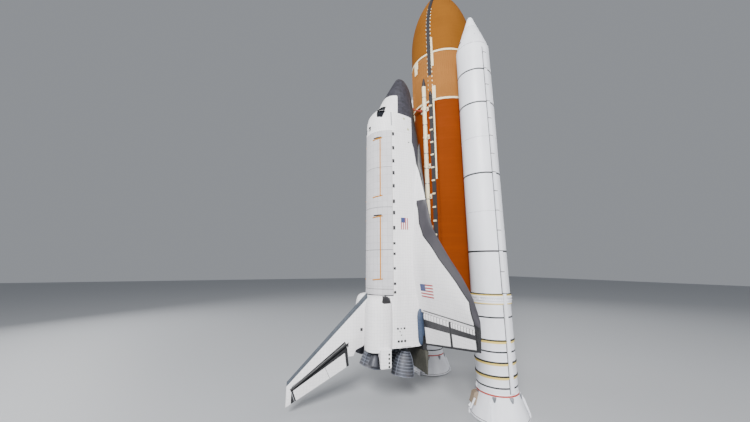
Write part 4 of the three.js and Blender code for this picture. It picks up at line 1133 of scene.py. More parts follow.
def booster_skirt(side, node, place):
    """Aft skirt with its hold-down posts, their webs, and the wedges under the red line"""
    sides = settings().booster.sides
    top, radius, wall = SKIRT["top"], SKIRT["radius"], SKIRT["wall"]
    foot = BOOSTER_ZERO - SKIRT["foot"]
    shell = revolve([(top, 60), (top, BOOSTER_R), (top + 2, BOOSTER_R + 1.5),
                     (top + SKIRT["shoulder"], SKIRT["shoulder_radius"]), (foot - 6, radius - 1.9),
                     (foot - 5, radius - 0.2), (foot, radius), (foot, radius - wall), (top + 8, 68)],
                    BOOSTER_ZERO, sides, closed=True)
    banded(shell, BOOSTER_ZERO, [(top + 3, top + 8.4, 3), (foot - 7, foot - 5.6, 1)])
    # Posts come from the CAD node: what lies outside the shell's own cone
    cone = revolve([(top - 20, 0), (top - 20, 68), (top + 9, 77.5), (foot, radius + 1),
                    (foot + 1, radius + 1), (foot + 1, 0)], BOOSTER_ZERO, sides)
    posts = carved(cad_form(node + "aft_skirt"), moved(cone, place))
    piece(node + "skirt", shell, place, booster_materials(), [node + "aft_skirt"])
    piece(node + "hold_down_posts", posts, None, [booster_paint()])

    for number, angle in enumerate(POST_ANGLES):
        rings = []
        for station, out in ((top + 10, 0.6), (top + 24, 6.0), (foot - 30, 7.4), (foot - 6, 4.0)):
            rings.append([on_skirt(angle + a, station, o)
                          for a, o in ((-1.6, -1), (1.6, -1), (1.2, out), (-1.2, out))])
        piece(node + "post_web_%d" % number, loft(rings), place, [booster_paint()])
    wedge = loft([[(x * w, y, BOOSTER_ZERO - station) for x, y in
                   ((-1, -74), (1, -74), (1, -r), (-1, -r))] for station, r, w in
                  ((top + 9, 80.5, 7), (top + 12, 81.5, 7), (top + 25, 83.2, 2.5))])
    count, step, first = 8, 43.8, 40.4
    repeated(node + "skirt_wedges", moved(wedge, TO_METRES), steel(), count, step,
             first if side > 0 else -first - step * (count - 1), centre=(place.translation.x, AXIS_Y, 0))


def booster_ends(side, node, place):
    """Nozzle, struts and separation motors"""
    # The nozzle has a dark liner and is closed at the throat
    form = revolve([(BOOSTER_ZERO - h, r) for h, r in NOZZLE_OUT + NOZZLE_IN], BOOSTER_ZERO,
                   settings().booster.sides)
    paint(form, 1, lambda c, n: n.z < -0.1 and math.hypot(c.x, c.y) < NOZZLE_IN[0][1] + 0.5)
    piece(node + "nozzle_skin", form, place, [steel(), liner()], [node + "nozzle"])
    copied(node + "struts", booster_paint())

    top = SKIRT["top"]
    first, step, count, radius, station = (
        NOSE_MOTORS[k] for k in ("first", "step", "count", "radius", "station"))
    for k in range(count):
        at = Vector(on_case((first + k * step) * side, radius, station))
        way = (Vector((at.x, at.y, 0)).normalized() + Vector((0, 0, 0.55))).normalized()
        motor = tube([at - way * 4, at + way * 2.2, at + way * 2.6], [2.4, 2.6, 1.4], 16)
        piece(f"{node}forward_motor_{k}", motor, place, [joint_band()])
    # Housing of the aft separation motors: a tan box with white motor cases beside it
    box = loft([[on_skirt((-17 + a) * side, s, out) for a, out in ((-9, -2), (9, -2), (8, lift), (-8, lift))]
                for s, lift in ((top + 9, 2), (top + 14, 17), (top + 50, 16), (top + 56, 3))])
    piece(node + "motor_housing", box, place, [cork()])
    cases = [tube([on_skirt(-6 * side, top + 30, 14), on_skirt(-12 * side, top + 66, 15)], 3.4, 16),
             tube([on_skirt(-30 * side, top + 40, 8), on_skirt(-31 * side, top + 58, 9)], 3.4, 16),
             tube([on_case(-20 * side, BOOSTER_R + 3, 1819), on_case(-20 * side, BOOSTER_R + 4, 1836)],
                  3.0, 16)]
    for angle in (-14, -22):
        cases.append(tube([on_skirt(angle * side, top + 54, 8), on_skirt(angle * side, top + 66, 13)],
                          [2.8, 4.2], 16))
    piece(node + "aft_motors", joined(*cases), place, [booster_paint()])
    plate = moved(block((-6, -BOOSTER_R - 6.6, -6), (6, -BOOSTER_R - 2, 6)),
                  Matrix.Translation((0, 0, BOOSTER_ZERO - 1509)) @ turned_about(15 * side))
    piece(node + "ring_box", plate, place, [booster_paint()])
    for number, (angle, station) in enumerate(CONE_VENTS):
        r = CONE_START[1] + (CONE_END[1] - CONE_START[1]) * (station - CONE_START[0]) / 116
        vent = tube([on_case(angle * side, r - 1, station), on_case(angle * side, r + 0.5, station)], 1.6, 12)
        piece(f"{node}vent_{number}", vent, place, [joint_band()])


def boosters():
    for side, label in SIDES[::-1]:
        node = f"booster_{label}_"
        for step in (booster_shell, booster_fittings, booster_skirt, booster_ends):
            step(side, node, on_booster(side))


# Orbiter fuselage

# Columns: station, belly, widest point, crown, half breadth, power above and power below
HULL_ROWS = (
    (236.5, 331, 336, 341, 5, 2, 2), (240, 320, 336, 347, 14, 2, 2), (248, 308, 336, 353.5, 25, 2, 2),
    (262, 298, 338, 361.5, 36, 2, 2), (285, 287, 341, 374, 48.5, 2, 2),
    (315, 279, 345, 390, 61.5, 2, 2.05), (350, 274, 350, 408, 73.5, 2, 2.05),
    (390, 271, 356, 427, 84, 2, 2.15), (428, 269.5, 364, 444.5, 91, 2, 2.35),
    (446, 269, 368, 461, 94, 2.05, 2.45), (464, 268.5, 373, 479, 96, 2.1, 2.55),
    (488, 268, 379, 493.5, 98.5, 2.1, 2.7), (524, 267.5, 388, 500, 100.5, 2, 3.1),
    (582, 267, 400, 502, 102, 2, 4.3), (700, 267.5, 400, 502, 102, 2, 7),
    (1307, 270, 400, 502, 102, 2, 7), (1380, 277, 400, 501, 103, 2.1, 7),
    (1450, 281, 400, 500, 105, 2.3, 7), (1510, 284, 396, 500, 106, 2.5, 7),
)
NOSE_START, NOSE_CAP_END, BAY_START, BAY_END, HULL_END = 236.5, 262, 582, 1307, 1510
HINGE_HEIGHT = 419
SKIN = 5
GLASS_BACK = 2.2
BAY = (588, 1301)
BAY_FLOOR = ((93, 440), (93, 375), (72, 328), (38, 308))
DOOR = {"radius": 102, "centre": 400, "thick": 3.5, "seam": 0.3}
PANES = (
    ((433, 3, 449), (434, 30, 445), (462, 28, 474), (466, 3, 479)),
    ((437, 35, 444), (451, 68, 436), (473, 76, 446), (462, 42, 470)),
    ((467, 46, 469), (479, 79, 444), (508, 76, 458), (503, 60, 474)),
    ((540, 8, 501), (540, 30, 497), (564, 30, 498), (564, 8, 502)),
)
# Hollow of the crew cabin, and the stretches of the glass behind the panes and of their dark frames
CABIN, GLASS, FRAMES = (350, 574), (424, 570), (424, 515)
# Levels that part the glass: under the windscreen, behind it, under the roof's glass and beside it
GLASS_LEVELS = {"sill": 428, "back": 514, "roof": 470, "side": 36}
HATCH = {"x": 492, "z": 372, "radius": 20, "window": 5, "thick": 4, "room": 0.26}
# Order of the fuselage's materials; the fourth, the dark strip, is used only for painted shadow behind the
# payload doors
WHITE, GREY, BLACK, GAP_SHADOW, INSIDE, CLOTH, SOOT, SLATE, FLANK = range(9)


def even_points(points, count):
    """Points at even steps along a fine line"""
    path = [Vector(p) for p in points]
    far = [0.0]
    for a, b in zip(path, path[1:]):
        far.append(far[-1] + (b - a).length)
    result, k = [], 0
    for i in range(count + 1):
        want = far[-1] * i / count
        while k < len(far) - 2 and far[k + 1] < want:
            k += 1
        span = far[k + 1] - far[k]
        result.append(path[k].lerp(path[k + 1], (want - far[k]) / span if span else 0))
    return result


def hull_point(row, angle, grow):
    _, belly, widest, crown, half, top_power, belly_power = row
    power = 2 / (top_power if angle >= 0 else belly_power)
    height = crown - widest if angle >= 0 else widest - belly
    rise = (height + grow) * abs(math.sin(angle)) ** power
    return ((half + grow) * max(math.cos(angle), 0) ** power, widest + math.copysign(rise, angle))


def hull_ring(x, grow=0.0, quarter=32):
    """Section of the fuselage, with even steps in each of its four quarters"""
    row = mix_rows(HULL_ROWS, x)
    right_angle = math.pi / 2
    starboard = []
    for low, high in ((-right_angle, 0), (0, right_angle)):
        fine = [(*hull_point(row, a, grow), 0) for a in steps(low, high, 400)]
        line = even_points(fine, quarter)
        starboard += [(x, p.x, p.y) for p in (line if low else line[1:])]
    port = [(x, -y, z) for x, y, z in starboard[1:-1][::-1]]
    return starboard + port


def hull(start, end, grow=0.0, step=8.0, quarter=32):
    count = max(1, math.ceil((end - start) / step))
    return loft([hull_ring(x, grow, quarter) for x in steps(start, end, count)])


def hull_half(x, z):
    """Half breadth of the fuselage at a height"""
    _, belly, widest, crown, half, top_power, belly_power = mix_rows(HULL_ROWS, x)
    height, power = (crown - widest, top_power) if z >= widest else (widest - belly, belly_power)
    share = min(1.0, abs(z - widest) / height)
    return half * (1 - share ** power) ** (1 / power)


def prism(outline, axis, low, high):
    """Straight prism of a closed outline on the two axes that follow the given one"""
    def placed(at, a, b):
        point = [0, 0, 0]
        point[axis], point[(axis + 1) % 3], point[(axis + 2) % 3] = at, a, b
        return tuple(point)

    return loft([[placed(at, a, b) for a, b in outline] for at in (low, high)])


def beyond(axis, at, above):
    """Large block past a level on one axis, which cuts away what lies there"""
    low, high = [300, -200, 200], [700, 200, 600]
    (low if above else high)[axis] = at
    return block(low, high)


def pane_cutter(corners, inward, outward, grow=0.0):
    """Prism through a window pane, grown in the pane's own plane"""
    points = [Vector(c) for c in corners]
    middle = sum(points, Vector()) / 4
    normal = (points[2] - points[0]).cross(points[3] - points[1]).normalized()
    if normal.z < 0:
        normal.negate()
    wide = [p + (p - middle).normalized() * grow for p in points]
    return loft([[tuple(p - normal * inward) for p in wide], [tuple(p + normal * outward) for p in wide]])


def scored(form, line, axes, test=lambda c: True):
    """Cuts the faces along a line of points, drawn on two axes"""
    a, b = axes
    reach = 14
    for (p0, q0), (p1, q1) in zip(line, line[1:]):
        normal, point = [0, 0, 0], [0, 0, 0]
        normal[a], normal[b] = q1 - q0, p0 - p1
        point[a], point[b] = p0, q0
        low, high = min(p0, p1) - reach, max(p0, p1) + reach
        bottom, top = min(q0, q1) - reach, max(q0, q1) + reach
        faces = [f for f in form.faces if low < (c := f.calc_center_median())[a] < high
                 and bottom < c[b] < top and test(c)]
        edges = {e for f in faces for e in f.edges}
        verts = {v for f in faces for v in f.verts}
        bmesh.ops.bisect_plane(form, geom=list(verts) + list(edges) + faces, plane_co=point,
                               plane_no=normal, dist=1e-4)


def within(outline, a, b):
    """Whether a point lies inside a convex outline"""
    turns = [(q0 - p0) * (b - p1) - (q1 - p1) * (a - p0)
             for (p0, p1), (q0, q1) in zip(outline, outline[1:] + outline[:1])]
    return all(t > 0 for t in turns) or all(t < 0 for t in turns)


def level(line, at):
    """Height of a line of points at a station"""
    for (p0, q0), (p1, q1) in zip(line, line[1:]):
        if min(p0, p1) <= at <= max(p0, p1) and p0 != p1:
            return lerp(q0, q1, (at - p0) / (p1 - p0))
    return line[0][1] if abs(at - line[0][0]) < abs(at - line[-1][0]) else line[-1][1]


# Upper limit of the dark tiles on the fuselage's side, and the dark patch beside the nose
CHINE = ((300, 300), (495, 315), (623, 320), (656, 310.5), (773, 292), (899, 285), (1000, 281),
         (1540, 284))
SIDE_PATCH = {"front": 516.3, "slope": 0.349, "top": 379, "rise": 0.0962, "from": 384,
              "back": 535.8, "back_slope": 0.123}
# Height on the nose above which its dark tiles are bleached
BLEACHED = 296


def patch_top(x):
    return SIDE_PATCH["top"] + SIDE_PATCH["rise"] * (x - SIDE_PATCH["from"])


def hull_zone(c):
    """Material of a point of the skin: white, dark grey or black"""
    patch = SIDE_PATCH
    if c.x + patch["slope"] * c.z < patch["front"]:
        return GREY if c.z > BLEACHED else BLACK
    if c.z < level(CHINE, c.x):
        return BLACK
    if c.z < patch_top(c.x) and c.x + patch["back_slope"] * c.z < patch["back"]:
        return GREY
    return WHITE


def hull_scored(form, start, end):
    """Cuts the skin along the limits of its zones"""
    patch = SIDE_PATCH
    if start < patch["front"]:
        scored(form, [(patch["front"] - patch["slope"] * z, z) for z in (200, 330, 520)], (0, 2))
        scored(form, [(x, patch_top(x)) for x in (370, 430, 500)], (0, 2))
        scored(form, [(patch["back"] - patch["back_slope"] * z, z) for z in (260, 330, 400)], (0, 2))
    scored(form, [p for p in CHINE if start - 400 < p[0] < end + 400], (0, 2))


def painted_hull(form, inside=INSIDE):
    """Gives the skin its zones, and what lies deeper the inside's material"""
    form.normal_update()
    for face in form.faces:
        c = face.calc_center_median()
        _, belly, _, crown, *_ = mix_rows(HULL_ROWS, c.x)
        skin = hull_half(c.x, c.z) if belly < c.z < crown else 0
        zone = hull_zone(c)
        if abs(c.y) < skin - 2.2 and belly + 2.2 < c.z < crown - 4:
            zone = inside
        # Black tiles that face sideways take the lighter purple-grey tile; those that face down stay black
        elif zone == BLACK and face.normal.z > -0.5:
            zone = FLANK
        face.material_index = zone


def hull_materials():
    return [white_tile(), grey_tile(), black_tile(), dark_edge(), liner(), bay_cloth(), heat_shield(),
            slate_tile(), side_tile()]


def hatch_plug(room=0.0):
    """Slightly tapered plug through the port side, at the hatch"""
    return tube([(HATCH["x"], -88, HATCH["z"]), (HATCH["x"], -104, HATCH["z"])],
                [HATCH["radius"] - 1.4 + room, HATCH["radius"] + 0.8 + room], 40)


def forward_fuselage():
    form = hull(NOSE_START, NOSE_CAP_END - GAP, step=2.2, quarter=24)
    piece("nose_cap_skin", form, ON_ORBITER, [carbon()], ["orbiter_nose_cap"])
    form = hull(NOSE_CAP_END, BAY_START - GAP, step=5.5)
    hull_scored(form, NOSE_CAP_END, BAY_START)
    cutters = [hull(*CABIN, -SKIN, step=14, quarter=14)]
    for corners in PANES:
        cutter = pane_cutter(corners, 16, 14)
        cutters += [mirrored(cutter), cutter]
    form = carved(form, *cutters, hatch_plug(HATCH["room"]))
    painted_hull(form)
    piece("forward_fuselage", form, ON_ORBITER, hull_materials(),
          ["orbiter_forward_fuselage"])

    def glass(*cuts):
        start, end = GLASS
        return carved(hull(start, end, -SKIN - GAP, 6, 24),
                      hull(start - 1, end + 1, -SKIN - GLASS_BACK, 6, 24), *cuts)

    sill, back, roof, side = (GLASS_LEVELS[k] for k in ("sill", "back", "roof", "side"))
    front_glass = glass(beyond(2, sill, False), beyond(0, back + 0.01, True))
    roof_glass = glass(beyond(2, roof, False), beyond(0, back, False), beyond(1, side, True),
                       beyond(1, -side, False))
    piece("flight_deck_glass", joined(front_glass, roof_glass), ON_ORBITER, [glazing()],
          ["orbiter_windows"])
    # Dark frames round the front and side panes, a hair proud of the skin
    frames = []
    for corners in PANES[:3]:
        band = carved(hull(*FRAMES, 0.25, 5.5, 32), hull(FRAMES[0] - 1, FRAMES[1] + 1, -2.4, 5.5, 32))
        outer = pane_cutter(corners, 18, 18, 3.4)
        inner = pane_cutter(corners, 20, 20)
        ring = carved(carved(band, outer, operation="INTERSECT"), inner)
        frames += [mirrored(ring), ring]
    piece("window_frames", joined(*frames), ON_ORBITER, [dark_edge()])

    shell = carved(hull(466, 520, 0, 4, 32), hull(440, 545, -HATCH["thick"], 4, 32))
    pane = tube([(HATCH["x"], -60, HATCH["z"]), (HATCH["x"], -125, HATCH["z"])], HATCH["window"], 24)
    form = carved(carved(shell, hatch_plug(), operation="INTERSECT"), pane)
    rim = HATCH["window"] + 0.3
    paint(form, 1, lambda c, n: math.hypot(c.x - HATCH["x"], c.z - HATCH["z"]) < rim)
    piece("hatch_skin", form, ON_ORBITER, [white_tile(), dark_edge()], ["orbiter_hatch"],
          "orbiter_hatch")


HINGE_MARKS = (598, 666, 728, 784, 844, 914, 964, 1030, 1096, 1140, 1200, 1262, 1296)
BAY_FRAMES = {"first": 640, "step": 56, "count": 12, "thick": 5}
FRAME_OUT = ((92.6, 417), (92.6, 376), (71.6, 329), (37.9, 309))
FRAME_IN = ((88.5, 417), (88.5, 378), (69, 333), (36.5, 313.5))


def to_port(points):
    return [(-y, z) for y, z in points]


def mid_fuselage():
    form = hull(BAY_START, BAY_END - GAP, step=14)
    hull_scored(form, BAY_START, BAY_END)
    trough = prism([*BAY_FLOOR, *to_port(BAY_FLOOR[::-1])], 0, *BAY)
    form = carved(form, block((BAY_START - 5, -120, HINGE_HEIGHT), (BAY_END + 5, 120, 520)), trough)
    painted_hull(form, CLOTH)
    paint(form, CLOTH, lambda c, n: BAY[0] + 0.5 < c.x < BAY[1] - 0.5 and c.z > 300 and n.z > 0.05
          and abs(c.y) < BAY_FLOOR[0][0] + 0.2)
    piece("mid_fuselage", form, ON_ORBITER, hull_materials(), ["orbiter_mid_fuselage"])

    # Cross frames of the bay, and the dark blocks along the door hinges
    outline = [*FRAME_OUT, *to_port(FRAME_OUT[::-1]), *to_port(FRAME_IN), *FRAME_IN[::-1]]
    hoop = prism(outline, 0, BAY_FRAMES["first"], BAY_FRAMES["first"] + BAY_FRAMES["thick"])
    repeated("bay_frames", moved(hoop, ON_ORBITER), bay_cloth(),
             along_count=BAY_FRAMES["count"], along_step=(0, 0, -BAY_FRAMES["step"] * INCH))
    for side, label in SIDES:
        blocks = []
        for x in HINGE_MARKS:
            low, high = sorted((side * 98, side * (hull_half(x, HINGE_HEIGHT - 5) + 1.6)))
            half = 8 if x < 1050 else 5
            blocks.append(block((x - half, low, HINGE_HEIGHT - 10), (x + half, high, HINGE_HEIGHT - 0.6)))
        piece("hinge_marks_" + label, joined(*blocks), ON_ORBITER, [dark_edge()])


def door_arc(radius, low, high, count):
    return [(radius * math.cos(a), DOOR["centre"] + radius * math.sin(a)) for a in steps(low, high, count)]


def door_surface(x, y, lift):
    """Point of the starboard door's outside at a half breadth, lifted off it"""
    r = DOOR["radius"] + lift
    angle = math.acos(min(1.0, y / DOOR["radius"]))
    return (x, r * math.cos(angle), DOOR["centre"] + r * math.sin(angle))


DOOR_SEAMS = (756, 938.5, 1123, 1284)
SEAM_HALF = 0.8
# Grab rails on the outside of a door, in two lengths with bent ends
RAIL_RUNS = ((619, 886), (981, 1242))
RAIL_END = (46, 56, 66, 76, 83)
RADIATORS = {"count": 4, "margin": 12, "gap": 4}


def door_rails():
    rails = []
    for start, end in RAIL_RUNS:
        rails.append(tube([door_surface(x, 76.5, 1.0) for x in steps(start, end, 12)], 2.4, 10))
        for x in (start - 2, end + 2):
            rails.append(tube([door_surface(x + (76 - y) * 0.12, y, 1.0) for y in RAIL_END], 2.2, 10))
        wedge = ribbon([door_surface(start - 7, y, 0.6) for y in (50, 60, 70, 80)], 3.2, (0, 0.6, 0.8))
        paint(wedge, 1, lambda c, n: True)
        rails.append(wedge)
    return joined(*rails)


def door_radiators(low, high):
    """Radiator panels on the inside of a door, between two angles"""
    count, margin, gap = (RADIATORS[k] for k in ("count", "margin", "gap"))
    start, end = BAY[0] + margin, BAY[1] - margin
    face = DOOR["radius"] - DOOR["thick"]
    arc = [*door_arc(face + 0.4, low, high, 24), *door_arc(face - 1.1, low, high, 24)[::-1]]
    return joined(*[loft([[(x, y, z) for y, z in arc] for x in
                          (lerp(start, end, k / count) + gap, lerp(start, end, (k + 1) / count) - gap)])
                    for k in range(count)])


def bay_doors():
    radius, centre, thick, seam = (DOOR[k] for k in ("radius", "centre", "thick", "seam"))
    low = math.asin((HINGE_HEIGHT + seam - centre) / (radius - thick))
    high = math.acos(seam / radius)
    outline = door_arc(radius, low, high, 40) + door_arc(radius - thick, low, high, 40)[::-1]
    stations = sorted([*steps(BAY_START + seam, BAY_END - seam, 30),
                       *[s + d for s in DOOR_SEAMS for d in (-SEAM_HALF, SEAM_HALF)]])
    form = loft([[(x, y, z) for y, z in outline] for x in stations])
    mean = radius - thick / 2
    paint(form, 1, lambda c, n: math.hypot(c.y, c.z - centre) > mean
          and any(abs(c.x - s) < SEAM_HALF for s in DOOR_SEAMS))
    paint(form, 2, lambda c, n: math.hypot(c.y, c.z - centre) < mean and n.y * c.y + n.z * (c.z - centre) < 0)
    rails = door_rails()
    radiators = door_radiators(low + 0.12, high - 0.06)
    for side, label in SIDES:
        body = "bay_door_" + label
        piece(body + "_skin", on_side(form, side), ON_ORBITER, [blanket(), dark_edge(), bay_cloth()],
              [body], body)
        piece(body + "_rails", on_side(rails, side), ON_ORBITER, [rail_paint(), dark_edge()],
              body=body)
        piece(body + "_radiators", on_side(radiators, side), ON_ORBITER, [radiator()],
              body=body)
    for used in (form, rails, radiators):
        used.free()


# Wings

# Columns: half breadth, leading edge, thickness, station of the deepest point
WING_ROWS = (
    (88, 560, 60, 1180), (104, 655, 59, 1180), (113, 735, 57, 1180), (127, 800, 54, 1180),
    (137, 848, 52, 1182), (148, 905, 50, 1185), (160, 940, 48, 1190), (173, 980, 47, 1195),
    (186, 1014, 46, 1200), (200, 1039, 43, 1210), (222, 1066, 39, 1225), (304, 1148, 31, 1265),
    (437, 1276, 20, 1335), (457, 1314, 14, 1355), (468.3, 1345, 8, 1368),
)
WING_ROOT, WING_TIP = WING_ROWS[0][0], WING_ROWS[-1][0]
# Shares of the way from the leading edge to the deepest point
NOSE_SHARES = (0.0015, 0.004, 0.009, 0.017, 0.03, 0.05, 0.08, 0.12, 0.17, 0.23, 0.3, 0.38, 0.47, 0.57,
               0.68, 0.8, 0.9, 1)
# Back of the leading edge band, seen from above: station, half breadth
EDGE_LINE = ((905, 112), (951, 127), (1010, 137), (1063, 162), (1162, 268), (1243, 374), (1300, 438),
             (1365, 459), (1378, 480))
HINGE_X = 1387
LEAD_RISE = 9
ELEVONS = (("inboard", 115, 311.2), ("outboard", 313.8, 454.5))
ELEVON_PANELS = 9
# Front and back of the elevons' black band at the half breadth of 130, and 339 further out
ELEVON_BAND = ((1404, 1396), (1434, 1410))
STUB = {"centre": 95, "height": 298, "reach": 110.8, "half": 21}
STUB_ROWS = ((1366, 0.45), (1378, 0.85), (1396, 1), (1478, 1), (1496, 0.85), (1507, 0.5))


def trailing_edge(y):
    return 1525.24 - 0.17733 * abs(y)


def hinge_half(y):
    return lerp(10, 4.7, (y - 115) / 339.5)


def wing_belly(x, y):
    return 268.5 + (y - 105) * 0.0612 + max(0, x - 1040) * 0.02


def hinge_height(y):
    return wing_belly(HINGE_X, y) + hinge_half(y)


def wing_heights(x, y, lead, thick, deepest):
    """Heights of the wing's lower and upper skin"""
    half = max(hinge_half(y), 2)
    if x >= HINGE_X:
        spread = lerp(half, 0.6, (x - HINGE_X) / (trailing_edge(y) - HINGE_X))
        return hinge_height(y) - spread, hinge_height(y) + spread
    if x >= deepest:
        aft = (x - deepest) / (HINGE_X - deepest)
        return wing_belly(x, y), wing_belly(x, y) + lerp(thick, half * 2, aft ** 1.6)
    fore = (deepest - x) / (deepest - lead)
    low = wing_belly(x, y) + LEAD_RISE * fore ** 5
    return low, low + thick * (1 - fore ** 1.6) ** 0.62


def wing_ring(y):
    _, lead, thick, deepest = mix_rows(WING_ROWS, y)
    xs = [lerp(lead, deepest, share) for share in NOSE_SHARES]
    xs += [lerp(deepest, HINGE_X, t) for t in (0.25, 0.5, 0.75, 1)]
    xs += [lerp(HINGE_X, trailing_edge(y), t) for t in (0.5, 1)]
    heights = [wing_heights(x, y, lead, thick, deepest) for x in xs]
    upper = [(x, y, top) for x, (_, top) in zip(xs, heights)]
    lower = [(x, y, low) for x, (low, _) in zip(xs, heights)][::-1]
    return [(lead, y, wing_belly(lead, y) + LEAD_RISE), *upper, *lower]


def whole_wing():
    ys = sorted({round(y, 2) for y in
                 (*steps(WING_ROOT, 240, 38), *steps(240, 440, 20), *steps(440, WING_TIP, 10))})
    form = loft([wing_ring(y) for y in ys])
    # The plan makes a truer map of the skin than the rings do
    box_map(form)
    return form


def band_plan(room=0.0):
    """Plan of all that lies before the back of the leading edge band"""
    last, far = EDGE_LINE[-1][0], 520
    return [(x + room, y - room) for x, y in EDGE_LINE] + [(last, far), (EDGE_LINE[0][0] - room, far)]


def flat_prism(outline):
    return prism(outline, 2, 200, 400)


def inner_line(offset):
    """Line beside the inner side of the leading edge band"""
    result = []
    for i, (x, y) in enumerate(EDGE_LINE):
        a, b = EDGE_LINE[max(i - 1, 0)], EDGE_LINE[min(i + 1, len(EDGE_LINE) - 1)]
        way = Vector((b[0] - a[0], b[1] - a[1])).normalized()
        result.append((x + way.y * offset, y - way.x * offset))
    return result


def wings():
    inner, outer, far = 109.8, 456.9, 1600
    hinge_gap = [(HINGE_X - hinge_half(y) - GAP, y) for y in (inner, outer)]
    rear = flat_prism([*hinge_gap, (far, outer), (far, inner)])
    room = GAP * 0.9
    wide = flat_prism([*band_plan(room), (EDGE_LINE[0][0] - room, EDGE_LINE[0][1])])
    root = block((200, 0, 200), (far, 99, 400))
    beside = block((STUB_ROWS[0][0] - GAP, 0, 200), (far, STUB["reach"] + GAP, 400))
    form = carved(whole_wing(), rear, wide, root, beside)
    strip = inner_line(4.6)
    scored(form, strip, (0, 1))
    # Black tiles on the aft part of the tip, and a black line before the elevons' hinge
    tip, seam = (1340, 452), (1367.6, 1372)
    scored(form, [(300, tip[1]), (1600, tip[1])], (0, 1), lambda c: c.x > tip[0])
    for x in seam:
        scored(form, [(x, 100), (x, 470)], (0, 1))

    def outside_strip(c):
        return any(y0 <= c.y <= y1 and c.x < lerp(x0, x1, (c.y - y0) / (y1 - y0))
                   for (x0, y0), (x1, y1) in zip(strip, strip[1:])) and c.x > EDGE_LINE[0][0]

    paint(form, 1, lambda c, n: n.z < -0.2)
    paint(form, 2, lambda c, n: n.z >= -0.2 and outside_strip(c))
    scored(form, [p for p in CHINE if 500 < p[0] < 1010], (0, 2))
    paint(form, 1, lambda c, n: c.x < EDGE_LINE[0][0] and c.z < level(CHINE, c.x))
    paint(form, 1, lambda c, n: c.y > tip[1] and c.x > tip[0])
    paint(form, 1, lambda c, n: seam[0] < c.x < seam[1] and c.y > 124)
    edge = carved(whole_wing(), flat_prism(band_plan()), operation="INTERSECT")
    for side, label in SIDES:
        piece(f"wing_{label}_skin", on_side(form, side), ON_ORBITER,
              [white_tile(), black_tile(), dark_edge()], ["wing_" + label])
        piece(f"wing_edge_{label}_skin", on_side(edge, side), ON_ORBITER, [carbon()],
              ["wing_edge_" + label])
    form.free()
    edge.free()


def elevon_ring(y):
    """Section of an elevon: a round nose on the hinge, and straight faces to the trailing edge"""
    half, height, x, end = hinge_half(y), hinge_height(y), HINGE_X, trailing_edge(y)
    fore = [(x - half * math.sin(a), y, height + half * math.cos(a)) for a in steps(0, math.pi, 14)]
    shares = (0.25, 0.5, 0.75, 1)
    low = [(lerp(x, end, t), y, height - lerp(half, 0.6, t)) for t in shares]
    high = [(lerp(x, end, t), y, height + lerp(half, 0.6, t)) for t in shares[::-1]]
    return fore + low + high


def elevons():
    for name, inner, outer in ELEVONS:
        # Panels over the hinge are parted by black lines, which are rings of their own
        border, line_half, rim = 6, 1.4, 7
        lines = [lerp(inner, outer, k / ELEVON_PANELS) for k in range(1, ELEVON_PANELS)]
        cuts = [inner + border, outer - border] + [y + d for y in lines for d in (-line_half, line_half)]
        stations = sorted({*steps(inner, outer, ELEVON_PANELS), *cuts} - set(lines))
        form = loft([elevon_ring(y) for y in stations])
        box_map(form)

        def band(at, y):
            return lerp(*ELEVON_BAND[at], (y - 130) / 339)

        for at in (0, 1):
            scored(form, [(band(at, y), y) for y in (100, 480)], (0, 1))
        scored(form, [(trailing_edge(y) - rim, y) for y in (100, 480)], (0, 1))
        paint(form, 1, lambda c, n: n.z < -0.05 or min(c.y - inner, outer - c.y) < border)
        paint(form, 1, lambda c, n: c.x < band(0, c.y) and any(abs(c.y - y) < line_half for y in lines))
        paint(form, 1, lambda c, n: band(0, c.y) < c.x < band(1, c.y) or c.x > trailing_edge(c.y) - rim)
        for side, label in SIDES:
            body = f"elevon_{name}_{label}"
            piece(body + "_skin", on_side(form, side), ON_ORBITER, [white_tile(), black_tile()],
                  [body], body)
        form.free()


# Aft fuselage, fin, pods and engines

FLAP = {"x": 1532, "z": 288, "half": 124, "radius": 8, "chord": 81}
# Shelf over the body flap, and the dark housing low on the fin: stations, half breadth, heights
SHELF = {"start": 1470, "half": 111, "low": 280, "high": 296}
FIN_BOX = {"start": 1443, "end": 1455, "low": 524, "high": 534}
JET_BLOCK = ((1500, 104, 446), (1570, 136, 490))
# Columns: name, place of the gimbal (x, y, z), pitch, cant, scale, radius of the well
ENGINES = (
    ("main_engine_upper", 1445, 0, 443, 16, 0, 1, 32),
    ("main_engine_left", 1468.17, -53, 342.64, 10, -3.5, 1, 36),
    ("main_engine_right", 1468.17, 53, 342.64, 10, 3.5, 1, 36),
    ("pod_engine_left", 1495, -88, 486, 15.8, -6.5, 0.47, 17),
    ("pod_engine_right", 1495, 88, 486, 15.8, 6.5, 0.47, 17),
)
UPPER_ENGINE, RIGHT_ENGINE, RIGHT_POD_ENGINE = ENGINES[0], ENGINES[2], ENGINES[4]
# Greatest pitch and yaw of the main and the pod engines
MAIN_TILT, POD_TILT = (10.5, 8.5), (6, 7)
# Bell: distance from the gimbal, radius
BELL = ((10, 15), (20, 17), (46, 17), (54, 11), (61, 13.5), (74, 22.5), (92, 32), (118, 39.6),
        (157, 45.35))
FINE_BELL = ((20, 12.6), (33, 12.6), (46, 12.6), (50, 11.8), (54, 11), (57, 11.3), (61, 13.5), (67, 17.9),
             (74, 22.5), (83, 27.7), (92, 32), (104, 36.1), (118, 39.6), (137, 43), (157, 45.35))
THROAT = 62
BELL_WALL = 1.6
HOOPS = (70, 79, 89, 100, 111, 122, 133, 144, 155.2)
POD_HOOPS = ((96, 33.4), (154.5, 45.0))
# Pumps: angle, distance from the axis, start, end, radius
PUMPS = ((40, 12, 20, 44, 4.8), (130, 12.4, 21, 46, 4.4), (220, 12, 20, 43, 4.8),
         (310, 12.6, 21, 45, 4.2), (85, 13.6, 24, 46, 3.1), (265, 13.6, 24, 46, 3.1))
PUMP_SHAPE = (0.55, 0.9, 1, 1, 1, 0.9, 0.6)
BALL_R = 7
